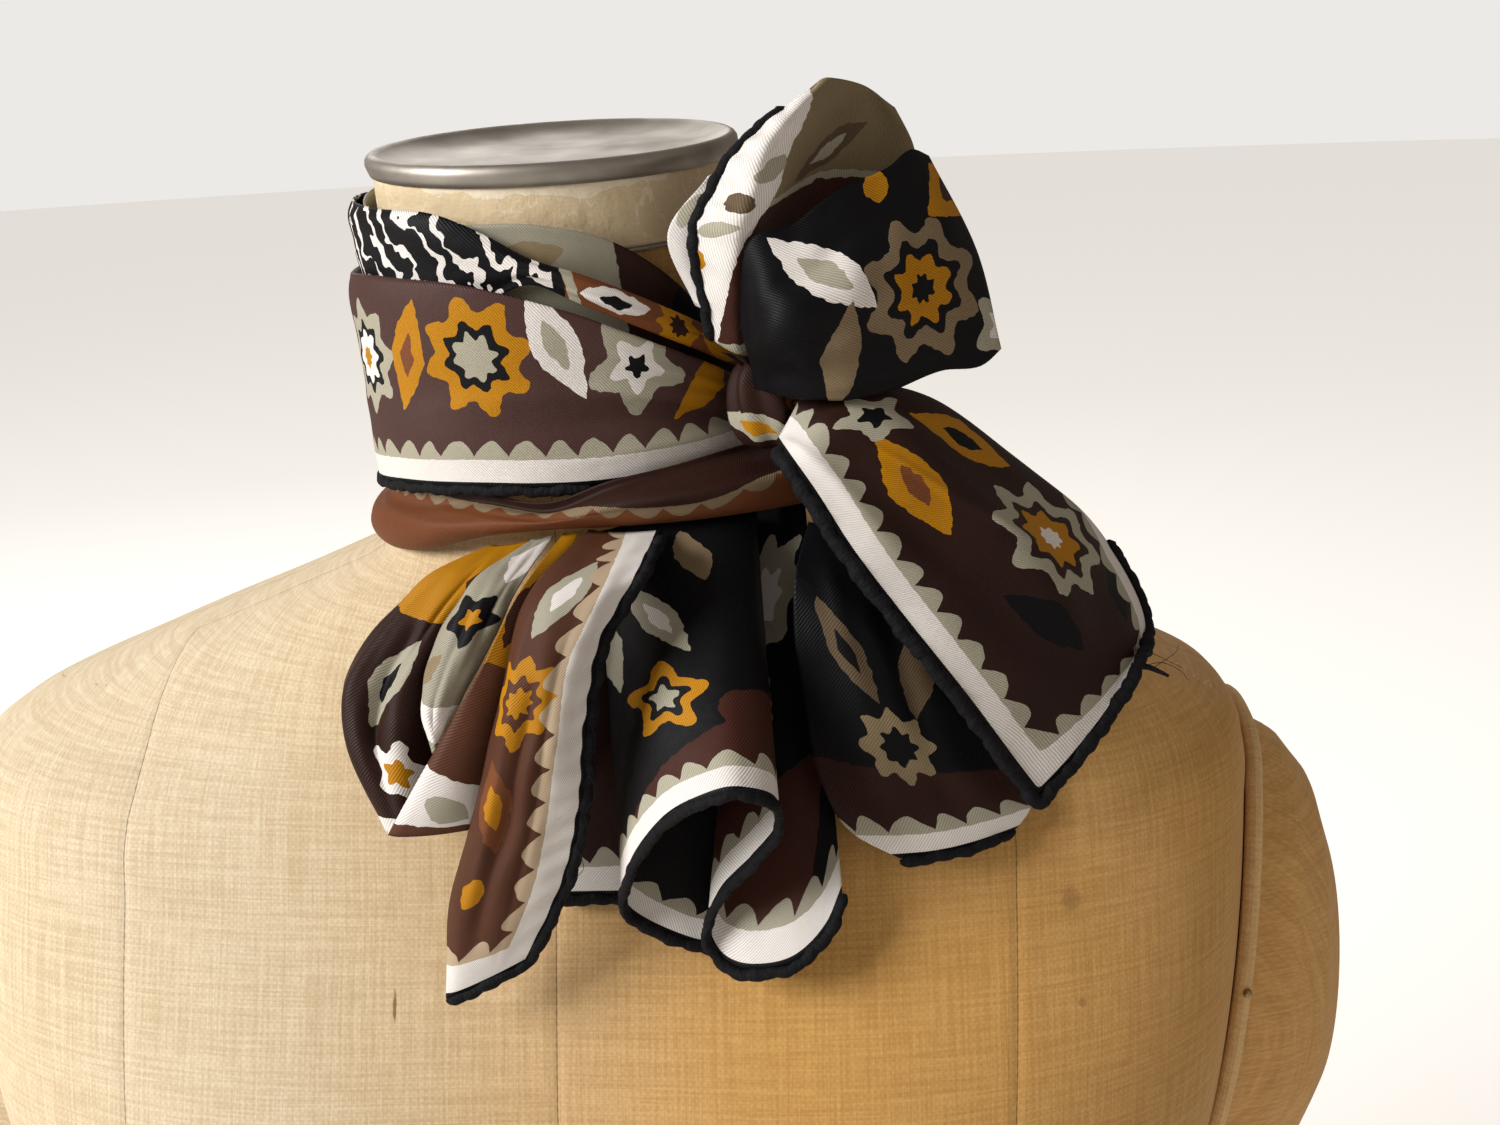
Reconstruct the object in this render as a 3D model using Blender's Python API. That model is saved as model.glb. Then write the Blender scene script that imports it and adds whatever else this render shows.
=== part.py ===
"""A printed silk scarf tied round the neck of a limbless dress form.

The form faces -Y and stands on its base board, whose underside is at Z = 0. The tables below are in
millimetres, with heights measured from the middle of the neck cap, and the neck's axis is at X = Y = 0.
Every stretch of the scarf is a thin wall laid through short tables of sections.
"""

import math

import bmesh
import bpy
import numpy as np

MM = 0.001

# Driving dimensions, in millimetres
CAP_HEIGHT = 680.0
CAP_RADIUS = 52.0
NECK_LEAN = 0.084
SILK_WALL = 1.0
HEM_RADIUS = 1.4
HEM_GAP = 1.0
BASE_THICKNESS = 12.0
ARM_PLANE = 197.0
ARM_CAP_PROUD = 39.0
PIPING_PROUD = 4.4

# Colour, roughness and metallic of the pieces
LINEN = ((0.58, 0.42, 0.23), 0.9, 0.0)
PAPER = ((0.62, 0.50, 0.31), 0.8, 0.0)
CAP_METAL = ((0.55, 0.53, 0.50), 0.32, 1.0)
BOARD = ((0.30, 0.17, 0.08), 0.6, 0.0)
BLACK_SILK = ((0.012, 0.012, 0.018), 0.45, 0.0)
BROWN_SILK = ((0.08, 0.03, 0.025), 0.42, 0.0)
RUST_SILK = ((0.20, 0.06, 0.025), 0.40, 0.0)
SAGE_SILK = ((0.36, 0.34, 0.26), 0.42, 0.0)
OCHRE_SILK = ((0.55, 0.27, 0.03), 0.42, 0.0)
WHITE_SILK = ((0.82, 0.78, 0.74), 0.42, 0.0)


def table(names, *rows):
    """A table of sections as one array for each named column."""
    return dict(zip(names.split(), np.array(rows, float).T))


def smooth(rows, key, name, at):
    """Column `name` at the places `at` of column `key`, on a smooth curve through every row."""
    x, y = rows[key], rows[name]
    slope = np.gradient(y, x)
    at = np.clip(np.asarray(at, float), x[0], x[-1])
    i = np.clip(np.searchsorted(x, at, side="right") - 1, 0, len(x) - 2)
    step = x[i + 1] - x[i]
    t = (at - x[i]) / step
    start = (1 + 2 * t) * (1 - t) ** 2 * y[i] + t * (1 - t) ** 2 * step * slope[i]
    end = t * t * (3 - 2 * t) * y[i + 1] - t * t * (1 - t) * step * slope[i + 1]
    return start + end


def row_at(rows, key, names, at):
    """Several columns at one place."""
    return [float(smooth(rows, key, name, at)) for name in names.split()]


def material(name, finish):
    colour, roughness, metallic = finish
    made = bpy.data.materials.new(name)
    made.use_nodes = True
    shader = made.node_tree.nodes["Principled BSDF"]
    shader.inputs["Base Color"].default_value = (*colour, 1.0)
    shader.inputs["Roughness"].default_value = roughness
    shader.inputs["Metallic"].default_value = metallic
    made.diffuse_color = (*colour, 1.0)
    return made


def add(name, points, faces, finish, sharp=50.0):
    """One closed mesh object from points in millimetres, lifted from the neck's frame to the base's."""
    mesh = bpy.data.meshes.new(name)
    lifted = np.asarray(points, float) + (0.0, 0.0, CAP_HEIGHT)
    mesh.from_pydata((lifted * MM).tolist(), [], faces)
    shape = bmesh.new()
    shape.from_mesh(mesh)
    bmesh.ops.recalc_face_normals(shape, faces=shape.faces)
    shape.to_mesh(mesh)
    shape.free()
    mesh.shade_smooth()
    mesh.set_sharp_from_angle(angle=math.radians(sharp))
    mesh.materials.append(material(name, finish))
    made = bpy.data.objects.new(name, mesh)
    bpy.context.scene.collection.objects.link(made)
    return made


def normals(points, closed=False):
    """Unit normals of a grid of points, whose first index may run round a closed ring."""
    if closed:
        along = np.roll(points, -1, 0) - np.roll(points, 1, 0)
    else:
        along = np.gradient(points, axis=0)
    found = np.cross(along, np.gradient(points, axis=1))
    return found / np.maximum(np.linalg.norm(found, axis=-1, keepdims=True), 1e-9)


def wall(name, points, finish, closed=False, thickness=SILK_WALL):
    """A wall of even thickness laid along a grid of points: two skins and the edges that join them."""
    rows, columns = points.shape[:2]
    offset = normals(points, closed) * thickness / 2
    skins = np.concatenate([(points + offset).reshape(-1, 3), (points - offset).reshape(-1, 3)])
    back = rows * columns
    faces = []
    for i in range(rows if closed else rows - 1):
        here, there = i * columns, (i + 1) % rows * columns
        for k in range(columns - 1):
            faces.append((here + k, there + k, there + k + 1, here + k + 1))
            faces.append((back + here + k + 1, back + there + k + 1, back + there + k, back + here + k))
        for k in (0, columns - 1):
            faces.append((here + k, there + k, back + there + k, back + here + k))
    if not closed:
        for start in (0, (rows - 1) * columns):
            for k in range(start, start + columns - 1):
                faces.append((k, k + 1, back + k + 1, back + k))
    return add(name, skins, faces, finish)


def tube(name, path, radius, finish, sides=6):
    """A round cord along a path, with flat ends."""
    path = np.asarray(path, float)
    tangent = np.gradient(path, axis=0)
    tangent /= np.linalg.norm(tangent, axis=1, keepdims=True)
    side = np.cross(tangent[0], (0.2, -1.0, 0.3))
    turn = 2 * math.pi * np.arange(sides) / sides
    rings = []
    for centre, forward in zip(path, tangent):
        side = side - forward * side.dot(forward)
        side /= np.linalg.norm(side)
        up = np.cross(forward, side)
        rings.append(centre + radius * (np.cos(turn)[:, None] * side + np.sin(turn)[:, None] * up))
    return capped(name, rings, finish)


def capped(name, rings, finish, sharp=50.0):
    """A closed body from rings of points, bottom to top, with a flat face at each end."""
    rings = np.asarray(rings, float)
    count, sides = rings.shape[:2]
    faces = [tuple(range(sides)), tuple((count - 1) * sides + k for k in range(sides))]
    for i in range(count - 1):
        for k in range(sides):
            n = (k + 1) % sides
            faces.append((i * sides + k, i * sides + n, (i + 1) * sides + n, (i + 1) * sides + k))
    return add(name, rings.reshape(-1, 3), faces, finish, sharp)


# The torso: half its width, how far it reaches to the front and the back of the neck's axis, and how
# square its section is (2 is an ellipse)
TORSO = table(
    "height half front back square",
    (-668, 172, 112, 114, 2.2),
    (-635, 173, 112, 114, 2.2),
    (-560, 152, 101, 99, 2.2),
    (-480, 124, 88, 80, 2.1),
    (-420, 144, 101, 87, 2.3),
    (-370, 168, 114, 95, 2.7),
    (-310, 187, 121, 102, 3.1),
    (-250, 195, 112, 105, 3.4),
    (-215, 198, 98, 102, 3.3),
    (-195, 199, 89, 99, 3.1),
    (-180, 199, 84, 96, 2.9),
    (-169, 195, 80, 93, 2.5),
    (-161, 180, 76, 90, 2.2),
    (-151, 155, 72, 87, 2.1),
    (-141, 130, 68, 84, 2.0),
    (-132, 105, 63, 80, 2.0),
    (-124, 84, 57, 77, 2.0),
    (-117, 66, 52, 73, 2.0),
    (-109, 56, 47, 67, 2.0),
    (-95, 53, 46, 62, 2.0),
    (-60, 51, 46, 56, 2.0),
    (-23.5, 50, 48, 52, 2.0),
)
TORSO_LEVELS = (-668, -640, -600, -560, -525, -500, -480, -460, -435, -400, -360, -320, -285, -250, -220, -198)
TORSO_LEVELS += (-183, -173, -165, -156, -147, -138, -130, -123, -117, -110, -98, -75, -50, -23.5)
TORSO_SIDES = 40
BUST = {"height": -295.0, "apart": 82.0, "spread": 52.0, "proud": 12.0}


def torso_ring(height, grow=0.0):
    """One level section of the torso, which leans with the neck at its top."""
    half, front, back, square = row_at(TORSO, "height", "half front back square", height)
    turn = 2 * math.pi * np.arange(TORSO_SIDES) / TORSO_SIDES
    x = (half + grow) * np.sign(np.sin(turn)) * abs(np.sin(turn)) ** (2 / square)
    faces_front = np.cos(turn) > 0
    depth = np.where(faces_front, front, back) + grow
    y = -depth * np.sign(np.cos(turn)) * abs(np.cos(turn)) ** (2 / square)
    level = math.exp(-(((height - BUST["height"]) / BUST["spread"]) ** 2))
    apart = np.exp(-(((abs(x) - BUST["apart"]) / BUST["spread"]) ** 2))
    y -= np.where(faces_front, BUST["proud"] * level * apart, 0.0)
    tilt = NECK_LEAN * max(0.0, (height + 105.0) / 81.5)
    return np.stack([x, y, height + tilt * y], -1)


def torso():
    capped("form_torso", [torso_ring(height) for height in TORSO_LEVELS], LINEN, 60.0)


def base():
    """A board under the torso, set in from its edge."""
    rings = []
    for height in (-CAP_HEIGHT, -CAP_HEIGHT + BASE_THICKNESS - 0.4):
        ring = torso_ring(TORSO_LEVELS[0], grow=-9.0)
        ring[:, 2] = height
        rings.append(ring)
    capped("form_base", rings, BOARD, 40.0)


# Each shoulder cap is a shallow dome on an upright oval seam, edged with a cord
ARM = {"middle": -274.0, "tall": 94.0, "deep": 58.0, "behind": 3.0, "sides": 28}
ARM_SECTION = table(
    "share cord dome",
    (1.05, 0.4, 0.00),
    (1.03, 1.0, 0.00),
    (0.98, 1.0, 0.00),
    (0.95, 0.3, 0.05),
    (0.88, 0.0, 0.40),
    (0.75, 0.0, 0.68),
    (0.53, 0.0, 0.88),
    (0.28, 0.0, 0.97),
    (0.03, 0.0, 1.00),
)


def side_of_torso(y, height):
    """How far out the torso's side is at a depth and a height."""
    half = smooth(TORSO, "height", "half", height)
    depth = np.where(y < 0, smooth(TORSO, "height", "front", height), smooth(TORSO, "height", "back", height))
    square = smooth(TORSO, "height", "square", height)
    return half * np.maximum(1 - (abs(y) / depth) ** square, 0.0) ** (1 / square)


def arm_oval(share):
    """Points of the armhole's oval, grown or shrunk by `share`: depth and height."""
    turn = 2 * math.pi * np.arange(ARM["sides"]) / ARM["sides"]
    y = ARM["behind"] + share * ARM["deep"] * np.cos(turn)
    z = ARM["middle"] + share * ARM["tall"] * np.sin(turn)
    return y, z


def arm_cap(side, name):
    outer, inner = [], []
    for share, cord, dome in zip(*ARM_SECTION.values()):
        y, z = arm_oval(share)
        under = side_of_torso(y, z) + 1.2
        seam = under + 1.2 + cord * PIPING_PROUD
        x = seam + dome * (ARM_PLANE + ARM_CAP_PROUD - seam)
        outer.append(np.stack([side * x, y, z], -1))
        inner.append(np.stack([side * under, y, z], -1))
    capped(name, inner[::-1] + outer, LINEN, 50.0)


def turned(name, profile, finish, sides=44):
    """A body turned about the neck's axis from (radius, height) pairs, leaning with the neck."""
    turn = 2 * math.pi * np.arange(sides) / sides
    rings = []
    for radius, height in profile:
        x, y = radius * np.sin(turn), -radius * np.cos(turn)
        rings.append(np.stack([x, y - NECK_LEAN * height, height + NECK_LEAN * y], -1))
    capped(name, rings, finish, 40.0)


def neck():
    turned("neck_band", ((50.4, -22.8), (51.0, -22.0), (51.0, -5.4), (50.4, -5.0)), PAPER)
    rim = CAP_RADIUS
    cap = ((rim - 1.4, -4.6), (rim, -4.2), (rim + 0.7, -2.0), (rim, 0.0), (rim - 1.8, 0.6), (rim - 4.0, -0.6))
    cap += ((rim - 9.0, -2.6), (rim - 18.0, -3.2), (2.0, -3.4))
    turned("neck_cap", cap, CAP_METAL)


# The turns round the neck, by the bearing in degrees from the front towards the wearer's left. `out` is
# the radius of the cloth, and `top` and `foot` are the heights of its edges.
INNER = table(
    "bearing out top foot",
    (-180, 55.0, -10, -44),
    (-110, 55.0, -9, -44),
    (-60, 54.6, -15, -44),
    (-20, 54.6, -18, -46),
    (6, 55.0, -19, -48),
    (26, 55.6, -25, -52),
    (42, 57.0, -37, -58),
    (53, 58.0, -49, -64),
    (80, 57.0, -40, -60),
    (125, 55.6, -18, -48),
    (180, 55.0, -10, -44),
)
UPPER = table(
    "bearing out top foot roll",
    (-180, 57.6, -14, -44, 0.0),
    (-110, 57.8, -12, -42, 0.0),
    (-80, 58.0, -12, -40, 0.3),
    (-45, 58.0, -14, -39, 0.5),
    (-20, 57.8, -16, -39, 0.6),
    (-8, 58.0, -21, -36, 0.8),
    (2, 59.4, -26.5, -33.0, 1.6),
    (14, 61.6, -31, -38.6, 2.6),
    (27, 63.6, -37.5, -45.6, 2.8),
    (41, 64.4, -45.5, -53.2, 2.4),
    (54, 64.4, -53.5, -60.0, 1.6),
    (75, 62.0, -49, -60.0, 0.8),
    (105, 58.6, -36, -52, 0.3),
    (140, 57.6, -20, -46, 0.0),
    (180, 57.6, -14, -44, 0.0),
)
MAIN = table(
    "bearing out top foot",
    (-180, 61.4, -30, -86),
    (-120, 61.6, -31, -92),
    (-80, 61.4, -32, -94),
    (-40, 61.2, -31, -89),
    (-14, 61.4, -32.5, -87),
    (0, 61.8, -36, -87),
    (12, 62.4, -40.5, -87),
    (26, 64.6, -47.8, -86),
    (41, 66.6, -56, -85),
    (54, 67.4, -63, -84),
    (75, 66.0, -62, -86),
    (110, 63.0, -42, -88),
    (180, 61.4, -30, -86),
)
LOWER = table(
    "bearing behind tuck top out middle foot",
    (-180, 4.0, 59.6, -91.6, 66.4, -97, -102),
    (-120, 7.0, 59.6, -98, 67.0, -106, -112),
    (-80, 7.0, 59.6, -99, 67.0, -107, -113),
    (-40, 7.0, 59.6, -95, 66.6, -102, -108),
    (-15, 1.0, 59.8, -92, 67.0, -96, -100.5),
    (2, 1.0, 64.2, -93.0, 70.6, -94.4, -97.2),
    (16, 1.0, 68.2, -86.4, 75.5, -91.0, -96.2),
    (30, 1.0, 70.0, -82.8, 81.0, -88.4, -95.6),
    (44, 1.0, 71.0, -81.0, 87.0, -87.0, -95.4),
    (54, 1.0, 71.0, -81.0, 90.0, -87.6, -96.0),
    (66, 1.0, 70.0, -82.0, 86.0, -89.6, -97.0),
    (90, 1.0, 66.4, -90, 73.0, -95, -100),
    (130, 1.0, 60.4, -92.6, 66.8, -97.4, -102),
    (180, 4.0, 59.6, -91.6, 66.4, -97, -102),
)
BEARINGS = np.linspace(-180, 180, 36, endpoint=False)


def round_neck(bearing, out, height):
    """A point beside the neck, whose axis leans."""
    turn = math.radians(bearing)
    return (out * math.sin(turn), -out * math.cos(turn) - NECK_LEAN * height, height)


def turn_of_cloth(name, section, finish, thickness=SILK_WALL):
    """A closed turn round the neck, whose section at each bearing is a list of (radius, height) pairs."""
    points = [[round_neck(bearing, out, height) for out, height in section(bearing)] for bearing in BEARINGS]
    wall(name, np.array(points), finish, closed=True, thickness=thickness)


def inner_section(bearing):
    out, top, foot = row_at(INNER, "bearing", "out top foot", bearing)
    return [(out - 0.4, foot), (out, 0.5 * (top + foot)), (out, top)]


def upper_section(bearing):
    out, top, foot, roll = row_at(UPPER, "bearing", "out top foot roll", bearing)
    return [(out - 0.3, foot), (out + roll, 0.5 * (top + foot)), (out + 0.6 * roll, top - 1.5), (out - 0.8, top)]


def main_section(bearing):
    """The main turn rises from its hem, with a trough that runs to the knot, and folds in at its top."""
    out, top, foot = row_at(MAIN, "bearing", "out top foot", bearing)
    tall = top - foot
    trough = 1.1 * math.exp(-(((bearing - 40) / 26) ** 2))
    section = [(out + 0.6, foot), (out + 0.9, foot + 0.25 * tall), (out - trough, foot + 0.46 * tall)]
    section += [(out + 0.6, foot + 0.68 * tall), (out, top - 2.2), (out - 0.7, top - 0.4)]
    return section + [(out - 1.6, top - 1.2), (out - 1.6, top - 6.0)]


def lower_section(bearing):
    """The lower turn rises behind the main one's hem, bulges below it and rolls under at its foot."""
    behind, tuck, top, out, middle, foot = row_at(LOWER, "bearing", "behind tuck top out middle foot", bearing)
    section = [(tuck, top + behind), (tuck, top), (0.4 * tuck + 0.6 * out, 0.6 * top + 0.4 * middle)]
    section += [(out, middle)]
    return section + [(out - 1.4, foot + 1.6), (out - 3.4, foot), (out - 5.2, foot + 2.4)]


def turns_round_neck():
    turn_of_cloth("neck_wrap_inner", inner_section, SAGE_SILK)
    turn_of_cloth("neck_wrap_upper", upper_section, BLACK_SILK)
    turn_of_cloth("neck_wrap_main", main_section, BROWN_SILK, thickness=0.9)
    turn_of_cloth("neck_wrap_lower", lower_section, RUST_SILK, thickness=0.9)
    path = []
    for bearing in np.linspace(-178, 0, 33):
        out, foot = row_at(MAIN, "bearing", "out foot", bearing)
        path.append(round_neck(bearing, out + 0.8, foot - HEM_RADIUS - HEM_GAP))
    tube("hem_main", path, HEM_RADIUS, BLACK_SILK)


KNOT = {"x": 61.0, "y": -47.0, "z": -67.5, "wide": 11.0, "deep": 9.0, "tall": 12.0, "pleats": 5, "sides": 20}


def knot():
    """The knot is one rounded bundle of pleats."""
    rings = []
    turn = 2 * math.pi * np.arange(KNOT["sides"]) / KNOT["sides"]
    pleat = 1.0 + 0.07 * np.cos(KNOT["pleats"] * turn)
    for step in range(1, 10):
        rise = math.pi * step / 10
        narrow = math.sin(rise) ** 0.7
        x = KNOT["x"] + KNOT["wide"] * narrow * pleat * np.cos(turn)
        y = KNOT["y"] + KNOT["deep"] * narrow * pleat * np.sin(turn)
        rings.append(np.stack([x, y, np.full(KNOT["sides"], KNOT["z"] - KNOT["tall"] * math.cos(rise))], -1))
    capped("knot", rings, OCHRE_SILK, 60.0)


def lane(rows, name, places):
    """The run of one named edge or fold line down a sheet."""
    return np.stack([smooth(rows, "down", name + axis, places) for axis in ("_x", "_y", "_z")], -1)


def panel(rows, lanes, across, down):
    """A sheet through two or more lanes, which may bow to the front and curl back at its outer lanes.

    `lanes` maps each lane's name to its share of the sheet's width."""
    t = np.linspace(rows["down"][0], rows["down"][-1], down)
    u = np.linspace(0, 1, across)
    runs = np.stack([lane(rows, name, t) for name in lanes])
    shares = np.array(list(lanes.values()), float)
    points = np.empty((down, across, 3))
    for i in range(down):
        for axis in range(3):
            spread = {"share": shares, "value": runs[:, i, axis]}
            points[i, :, axis] = smooth(spread, "share", "value", u)
    first = np.maximum(0, 1 - u / 0.16) ** 2
    last = np.maximum(0, 1 - (1 - u) / 0.16) ** 2
    shapes = (("bow", -np.sin(math.pi * u)), ("curl_first", first), ("curl_last", last))
    for column, shape in shapes:
        if column in rows:
            points[..., 1] += smooth(rows, "down", column, t)[:, None] * shape[None]
    return points


def folded(points, folds):
    """The sheet with soft ridges (or troughs, where `proud` is negative) along lines across its grid."""
    down, across = points.shape[:2]
    t, u = np.linspace(0, 1, down)[:, None], np.linspace(0, 1, across)[None]
    facing = normals(points)
    facing *= np.where(facing[..., 1:2] > 0, -1.0, 1.0)
    for first, last, wide, proud, start, end in zip(*folds.values()):
        along = np.clip((t - start) / (end - start), 0, 1)
        line = first + (last - first) * along
        shape = proud * np.sin(math.pi * along) * np.exp(-(((u - line) / wide) ** 2))
        points = points + facing * shape[..., None]
    return points


def unit(vectors):
    return vectors / np.linalg.norm(vectors, axis=-1, keepdims=True)


def hem_beside(name, edge, inside, count):
    """A rolled hem beside the edge of a sheet, away from the row of points inside it, mitred at a corner."""
    legs = unit(np.diff(edge, axis=0))
    before, after = np.concatenate([legs[:1], legs]), np.concatenate([legs, legs[-1:]])
    along = unit(before + after)
    out = edge - inside
    out = unit(out - along * (out * along).sum(1, keepdims=True))
    mitre = np.sqrt(2 / (1 + np.clip((before * after).sum(1, keepdims=True), 0, 1)))
    path = edge + out * mitre * (HEM_RADIUS + HEM_GAP)
    rows = {"at": np.linspace(0, 1, len(path)), "x": path[:, 0], "y": path[:, 1], "z": path[:, 2]}
    t = np.linspace(0, 1, count)
    tube(name, np.stack([smooth(rows, "at", axis, t) for axis in "xyz"], -1), HEM_RADIUS, BLACK_SILK)


TWO_EDGES = "down left_x left_y left_z right_x right_y right_z bow curl_first curl_last"
LEFT_TO_RIGHT = {"left": 0.0, "right": 1.0}
FOLDS = "first last wide proud start end"

# The front of the end that stands up, from the knot outwards: its upper edge and its lower edge
EAR_FRONT = table(
    "down top_x top_y top_z belly_x belly_y belly_z foot_x foot_y foot_z",
    (0.00, 55, -56, -46, 57, -58, -54, 58, -56, -62),
    (0.20, 58, -63, -25, 65, -73, -44, 70, -66, -61),
    (0.40, 70, -60, -20, 77, -72, -42, 82, -66, -61),
    (0.60, 81, -55, -13, 89, -66, -38, 93, -62, -61),
    (0.80, 93, -47, -9, 101, -57, -34, 106, -56, -59),
    (0.93, 100, -41, -5, 111, -47, -31, 117, -50, -59),
    (1.00, 104, -37, -7, 116, -40, -31, 122, -45, -56),
)
EAR_FRONT_FOLDS = table(FOLDS, (0.55, 0.30, 0.12, 1.4, 0.0, 0.8), (0.85, 0.70, 0.08, -1.2, 0.0, 0.9))
# The back of it, from its base to its crest: the hemmed edge, the ridge beside it and the far edge
EAR_BACK = table(
    "down hem_x hem_y hem_z ridge_x ridge_y ridge_z deep_x deep_y deep_z far_x far_y far_z",
    (0.00, 48, -52, -50, 53, -53, -53, 56, -51, -54, 60, -48, -54),
    (0.25, 45, -57, -24, 56, -62, -27, 64, -46, -31, 75, -40, -38),
    (0.50, 50, -57, -12, 61, -64, -14, 74, -38, -16, 92, -31, -27),
    (0.70, 57, -55, -2, 66, -61, -1, 82, -32, -4, 101, -26, -15),
    (0.85, 66, -51, 5, 72, -55, 6, 86, -29, 4, 101, -24, -5),
    (1.00, 76, -43, 12, 80, -41, 13, 88, -30, 11, 96, -25, 5),
)
EAR_BACK_LANES = {"hem": 0.0, "ridge": 0.3, "deep": 0.62, "far": 1.0}
EAR_UNDER = table(
    TWO_EDGES,
    (0.0, 43, -48.5, -41, 46, -49.5, -42, 1, 0, 0),
    (0.5, 37, -49, -23, 46, -49, -23, 1, 0, 0),
    (1.0, 48, -49, -9, 54, -48, -6, 0, 0, 0),
)
# The end over the wearer's left shoulder: its hemmed edge (left) and its folded edge (right)
TAIL_RIGHT = table(
    TWO_EDGES,
    (0.00, 63, -57, -76, 69, -56, -66, 1, 0, 1),
    (0.12, 66, -71, -77, 85, -60, -62, 3, 0, 3),
    (0.25, 72, -76, -85, 104, -52, -68, 6, 0, 5),
    (0.40, 81, -81, -99, 125, -43, -86, 9, 0, 6),
    (0.60, 96, -86, -119, 149, -37, -108, 11, 0, 7),
    (0.75, 108, -88, -135, 160, -36, -125, 10, 0, 6),
    (0.88, 118, -88, -150, 164, -42, -136, 7, 0, 4),
    (1.00, 128, -87, -165, 157.5, -58, -141, 3, 0, 0),
)
TAIL_RIGHT_FOLDS = table(FOLDS, (0.70, 0.62, 0.10, 3.0, 0.15, 0.85), (0.35, 0.42, 0.12, -2.0, 0.1, 0.8))
TAIL_RIGHT_UNDER = table(
    TWO_EDGES,
    (0.00, 73, -56, -98.5, 86, -54, -100, 2, 0, 0),
    (0.30, 68, -73, -112, 102, -66, -122, 4, 0, 0),
    (0.60, 68, -80, -139, 116, -71, -148, 6, 0, 0),
    (0.80, 72.5, -87, -160, 124, -76, -164, 6, 0, 0),
    (0.93, 81, -91, -173, 127, -79, -172, 5, 0, 0),
    (1.00, 92, -92, -179, 123, -81, -177, 3, 0, 0),
)
# The loop that droops at the wearer's right: its outer band, the roll inside it and its near side
TAIL_LOOP = table(
    TWO_EDGES,
    (0.00, -16, -54, -103.4, -5, -56, -101.6, 1, 1, 0),
    (0.20, -28, -67, -106, -10, -70, -107, 3, 3, 0),
    (0.40, -40, -75, -115, -19, -77, -122, 5, 5, 0),
    (0.60, -51, -84, -128, -23, -84, -135, 6, 7, 0),
    (0.75, -53, -89, -138, -24, -88, -146, 7, 8, 0),
    (0.90, -47, -95, -154, -25, -94, -156, 6, 6, 0),
    (1.00, -41, -98, -166, -26, -98, -166, 3, 2, 0),
)
TAIL_LOOP_FOLDS = table(FOLDS, (0.36, 0.40, 0.10, -4.0, 0.35, 0.98), (0.62, 0.62, 0.12, 2.5, 0.4, 0.9))
TAIL_LOOP_ROLL = table(
    TWO_EDGES,
    (0.00, -3, -57.5, -100.4, 2, -58, -99.6, 1, 0, 0),
    (0.25, -14, -80, -104, -3, -82, -106, 3, 2, 0),
    (0.50, -24, -89, -117, -10, -91, -119, 5, 5, 0),
    (0.75, -28, -95, -130, -18, -96, -132, 5, 5, 0),
    (1.00, -25, -99, -143, -23, -99, -143, 1, 1, 0),
)
TAIL_LOOP_FRONT = table(
    TWO_EDGES,
    (0.00, 5, -58, -99.2, 9, -58, -98.8, 1, 0, 0),
    (0.25, -2, -86, -106, 4, -83, -110, 1, 0, 0),
    (0.50, -12, -97, -124, -4, -94, -130, 1, 0, 0),
    (0.75, -23, -102, -141, -11, -99, -149, 2, 1, 0),
    (0.90, -32, -105, -155, -15, -102, -159, 2, 1, 0),
    (1.00, -37, -106, -163, -17, -103, -163, 1, 1, 0),
)
TAIL_POINT = table(
    TWO_EDGES,
    (0.00, 12, -58.5, -98.4, 32, -62, -97.8, 2, 1, 0),
    (0.15, 2, -90, -104, 30, -86, -100, 4, 4, 0),
    (0.30, -3, -100, -117, 20, -95, -116, 5, 5, 0),
    (0.45, -8, -106, -136, 16, -100, -133, 5, 5, 0),
    (0.65, -15, -109, -159, 13, -104, -156, 4, 4, 0),
    (0.85, -23, -111, -184, 7, -107, -177, 3, 3, 0),
    (1.00, -26, -111, -208, -4, -108, -198, 1, 1, 0),
)
TAIL_POINT_FOLDS = table(FOLDS, (0.40, 0.30, 0.08, -2.0, 0.3, 0.95), (0.75, 0.72, 0.10, 1.2, 0.0, 0.7))
TAIL_BEHIND = table(
    TWO_EDGES,
    (0.0, 6, -74, -124, 20, -63, -124, 0, 0, 0),
    (0.5, 3, -82, -157, 24, -77.5, -157, 0, 0, 0),
    (1.0, 1, -91, -190, 26, -91, -190, 0, 0, 0),
)
# The fold that ends in an S: each row is one place along its hem, with the same fold at its head
TAIL_CENTRE = table(
    "across head_x head_y head_z foot_x foot_y foot_z",
    (0.00, 42, -62, -127, 49, -95.5, -203),
    (0.06, 28, -66, -121, 37, -97.5, -200),
    (0.13, 14, -57, -101.0, 21, -101, -187),
    (0.18, 18, -56.5, -98.6, 24, -107, -173),
    (0.25, 28, -57, -96.8, 34, -114, -156),
    (0.33, 41, -56, -97.0, 46, -120, -146),
    (0.41, 49, -53.5, -96.4, 55, -121, -144),
    (0.47, 54.5, -51, -96.6, 62, -117, -149),
    (0.52, 56, -48.5, -97.4, 62, -111, -159),
    (0.59, 55, -46.5, -98.4, 55, -106, -171),
    (0.66, 53, -45, -99.2, 46, -102, -183),
    (0.72, 52.5, -43.5, -99.8, 42, -100, -194),
    (0.78, 55, -42.2, -99.0, 45, -102, -202),
    (0.85, 60, -41, -96.0, 54, -105, -204),
    (0.91, 62.5, -40, -93.5, 65, -105, -201),
    (0.96, 65, -39, -93.5, 73, -101, -194),
    (1.00, 67, -38.5, -93.5, 77, -97, -186),
)


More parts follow.
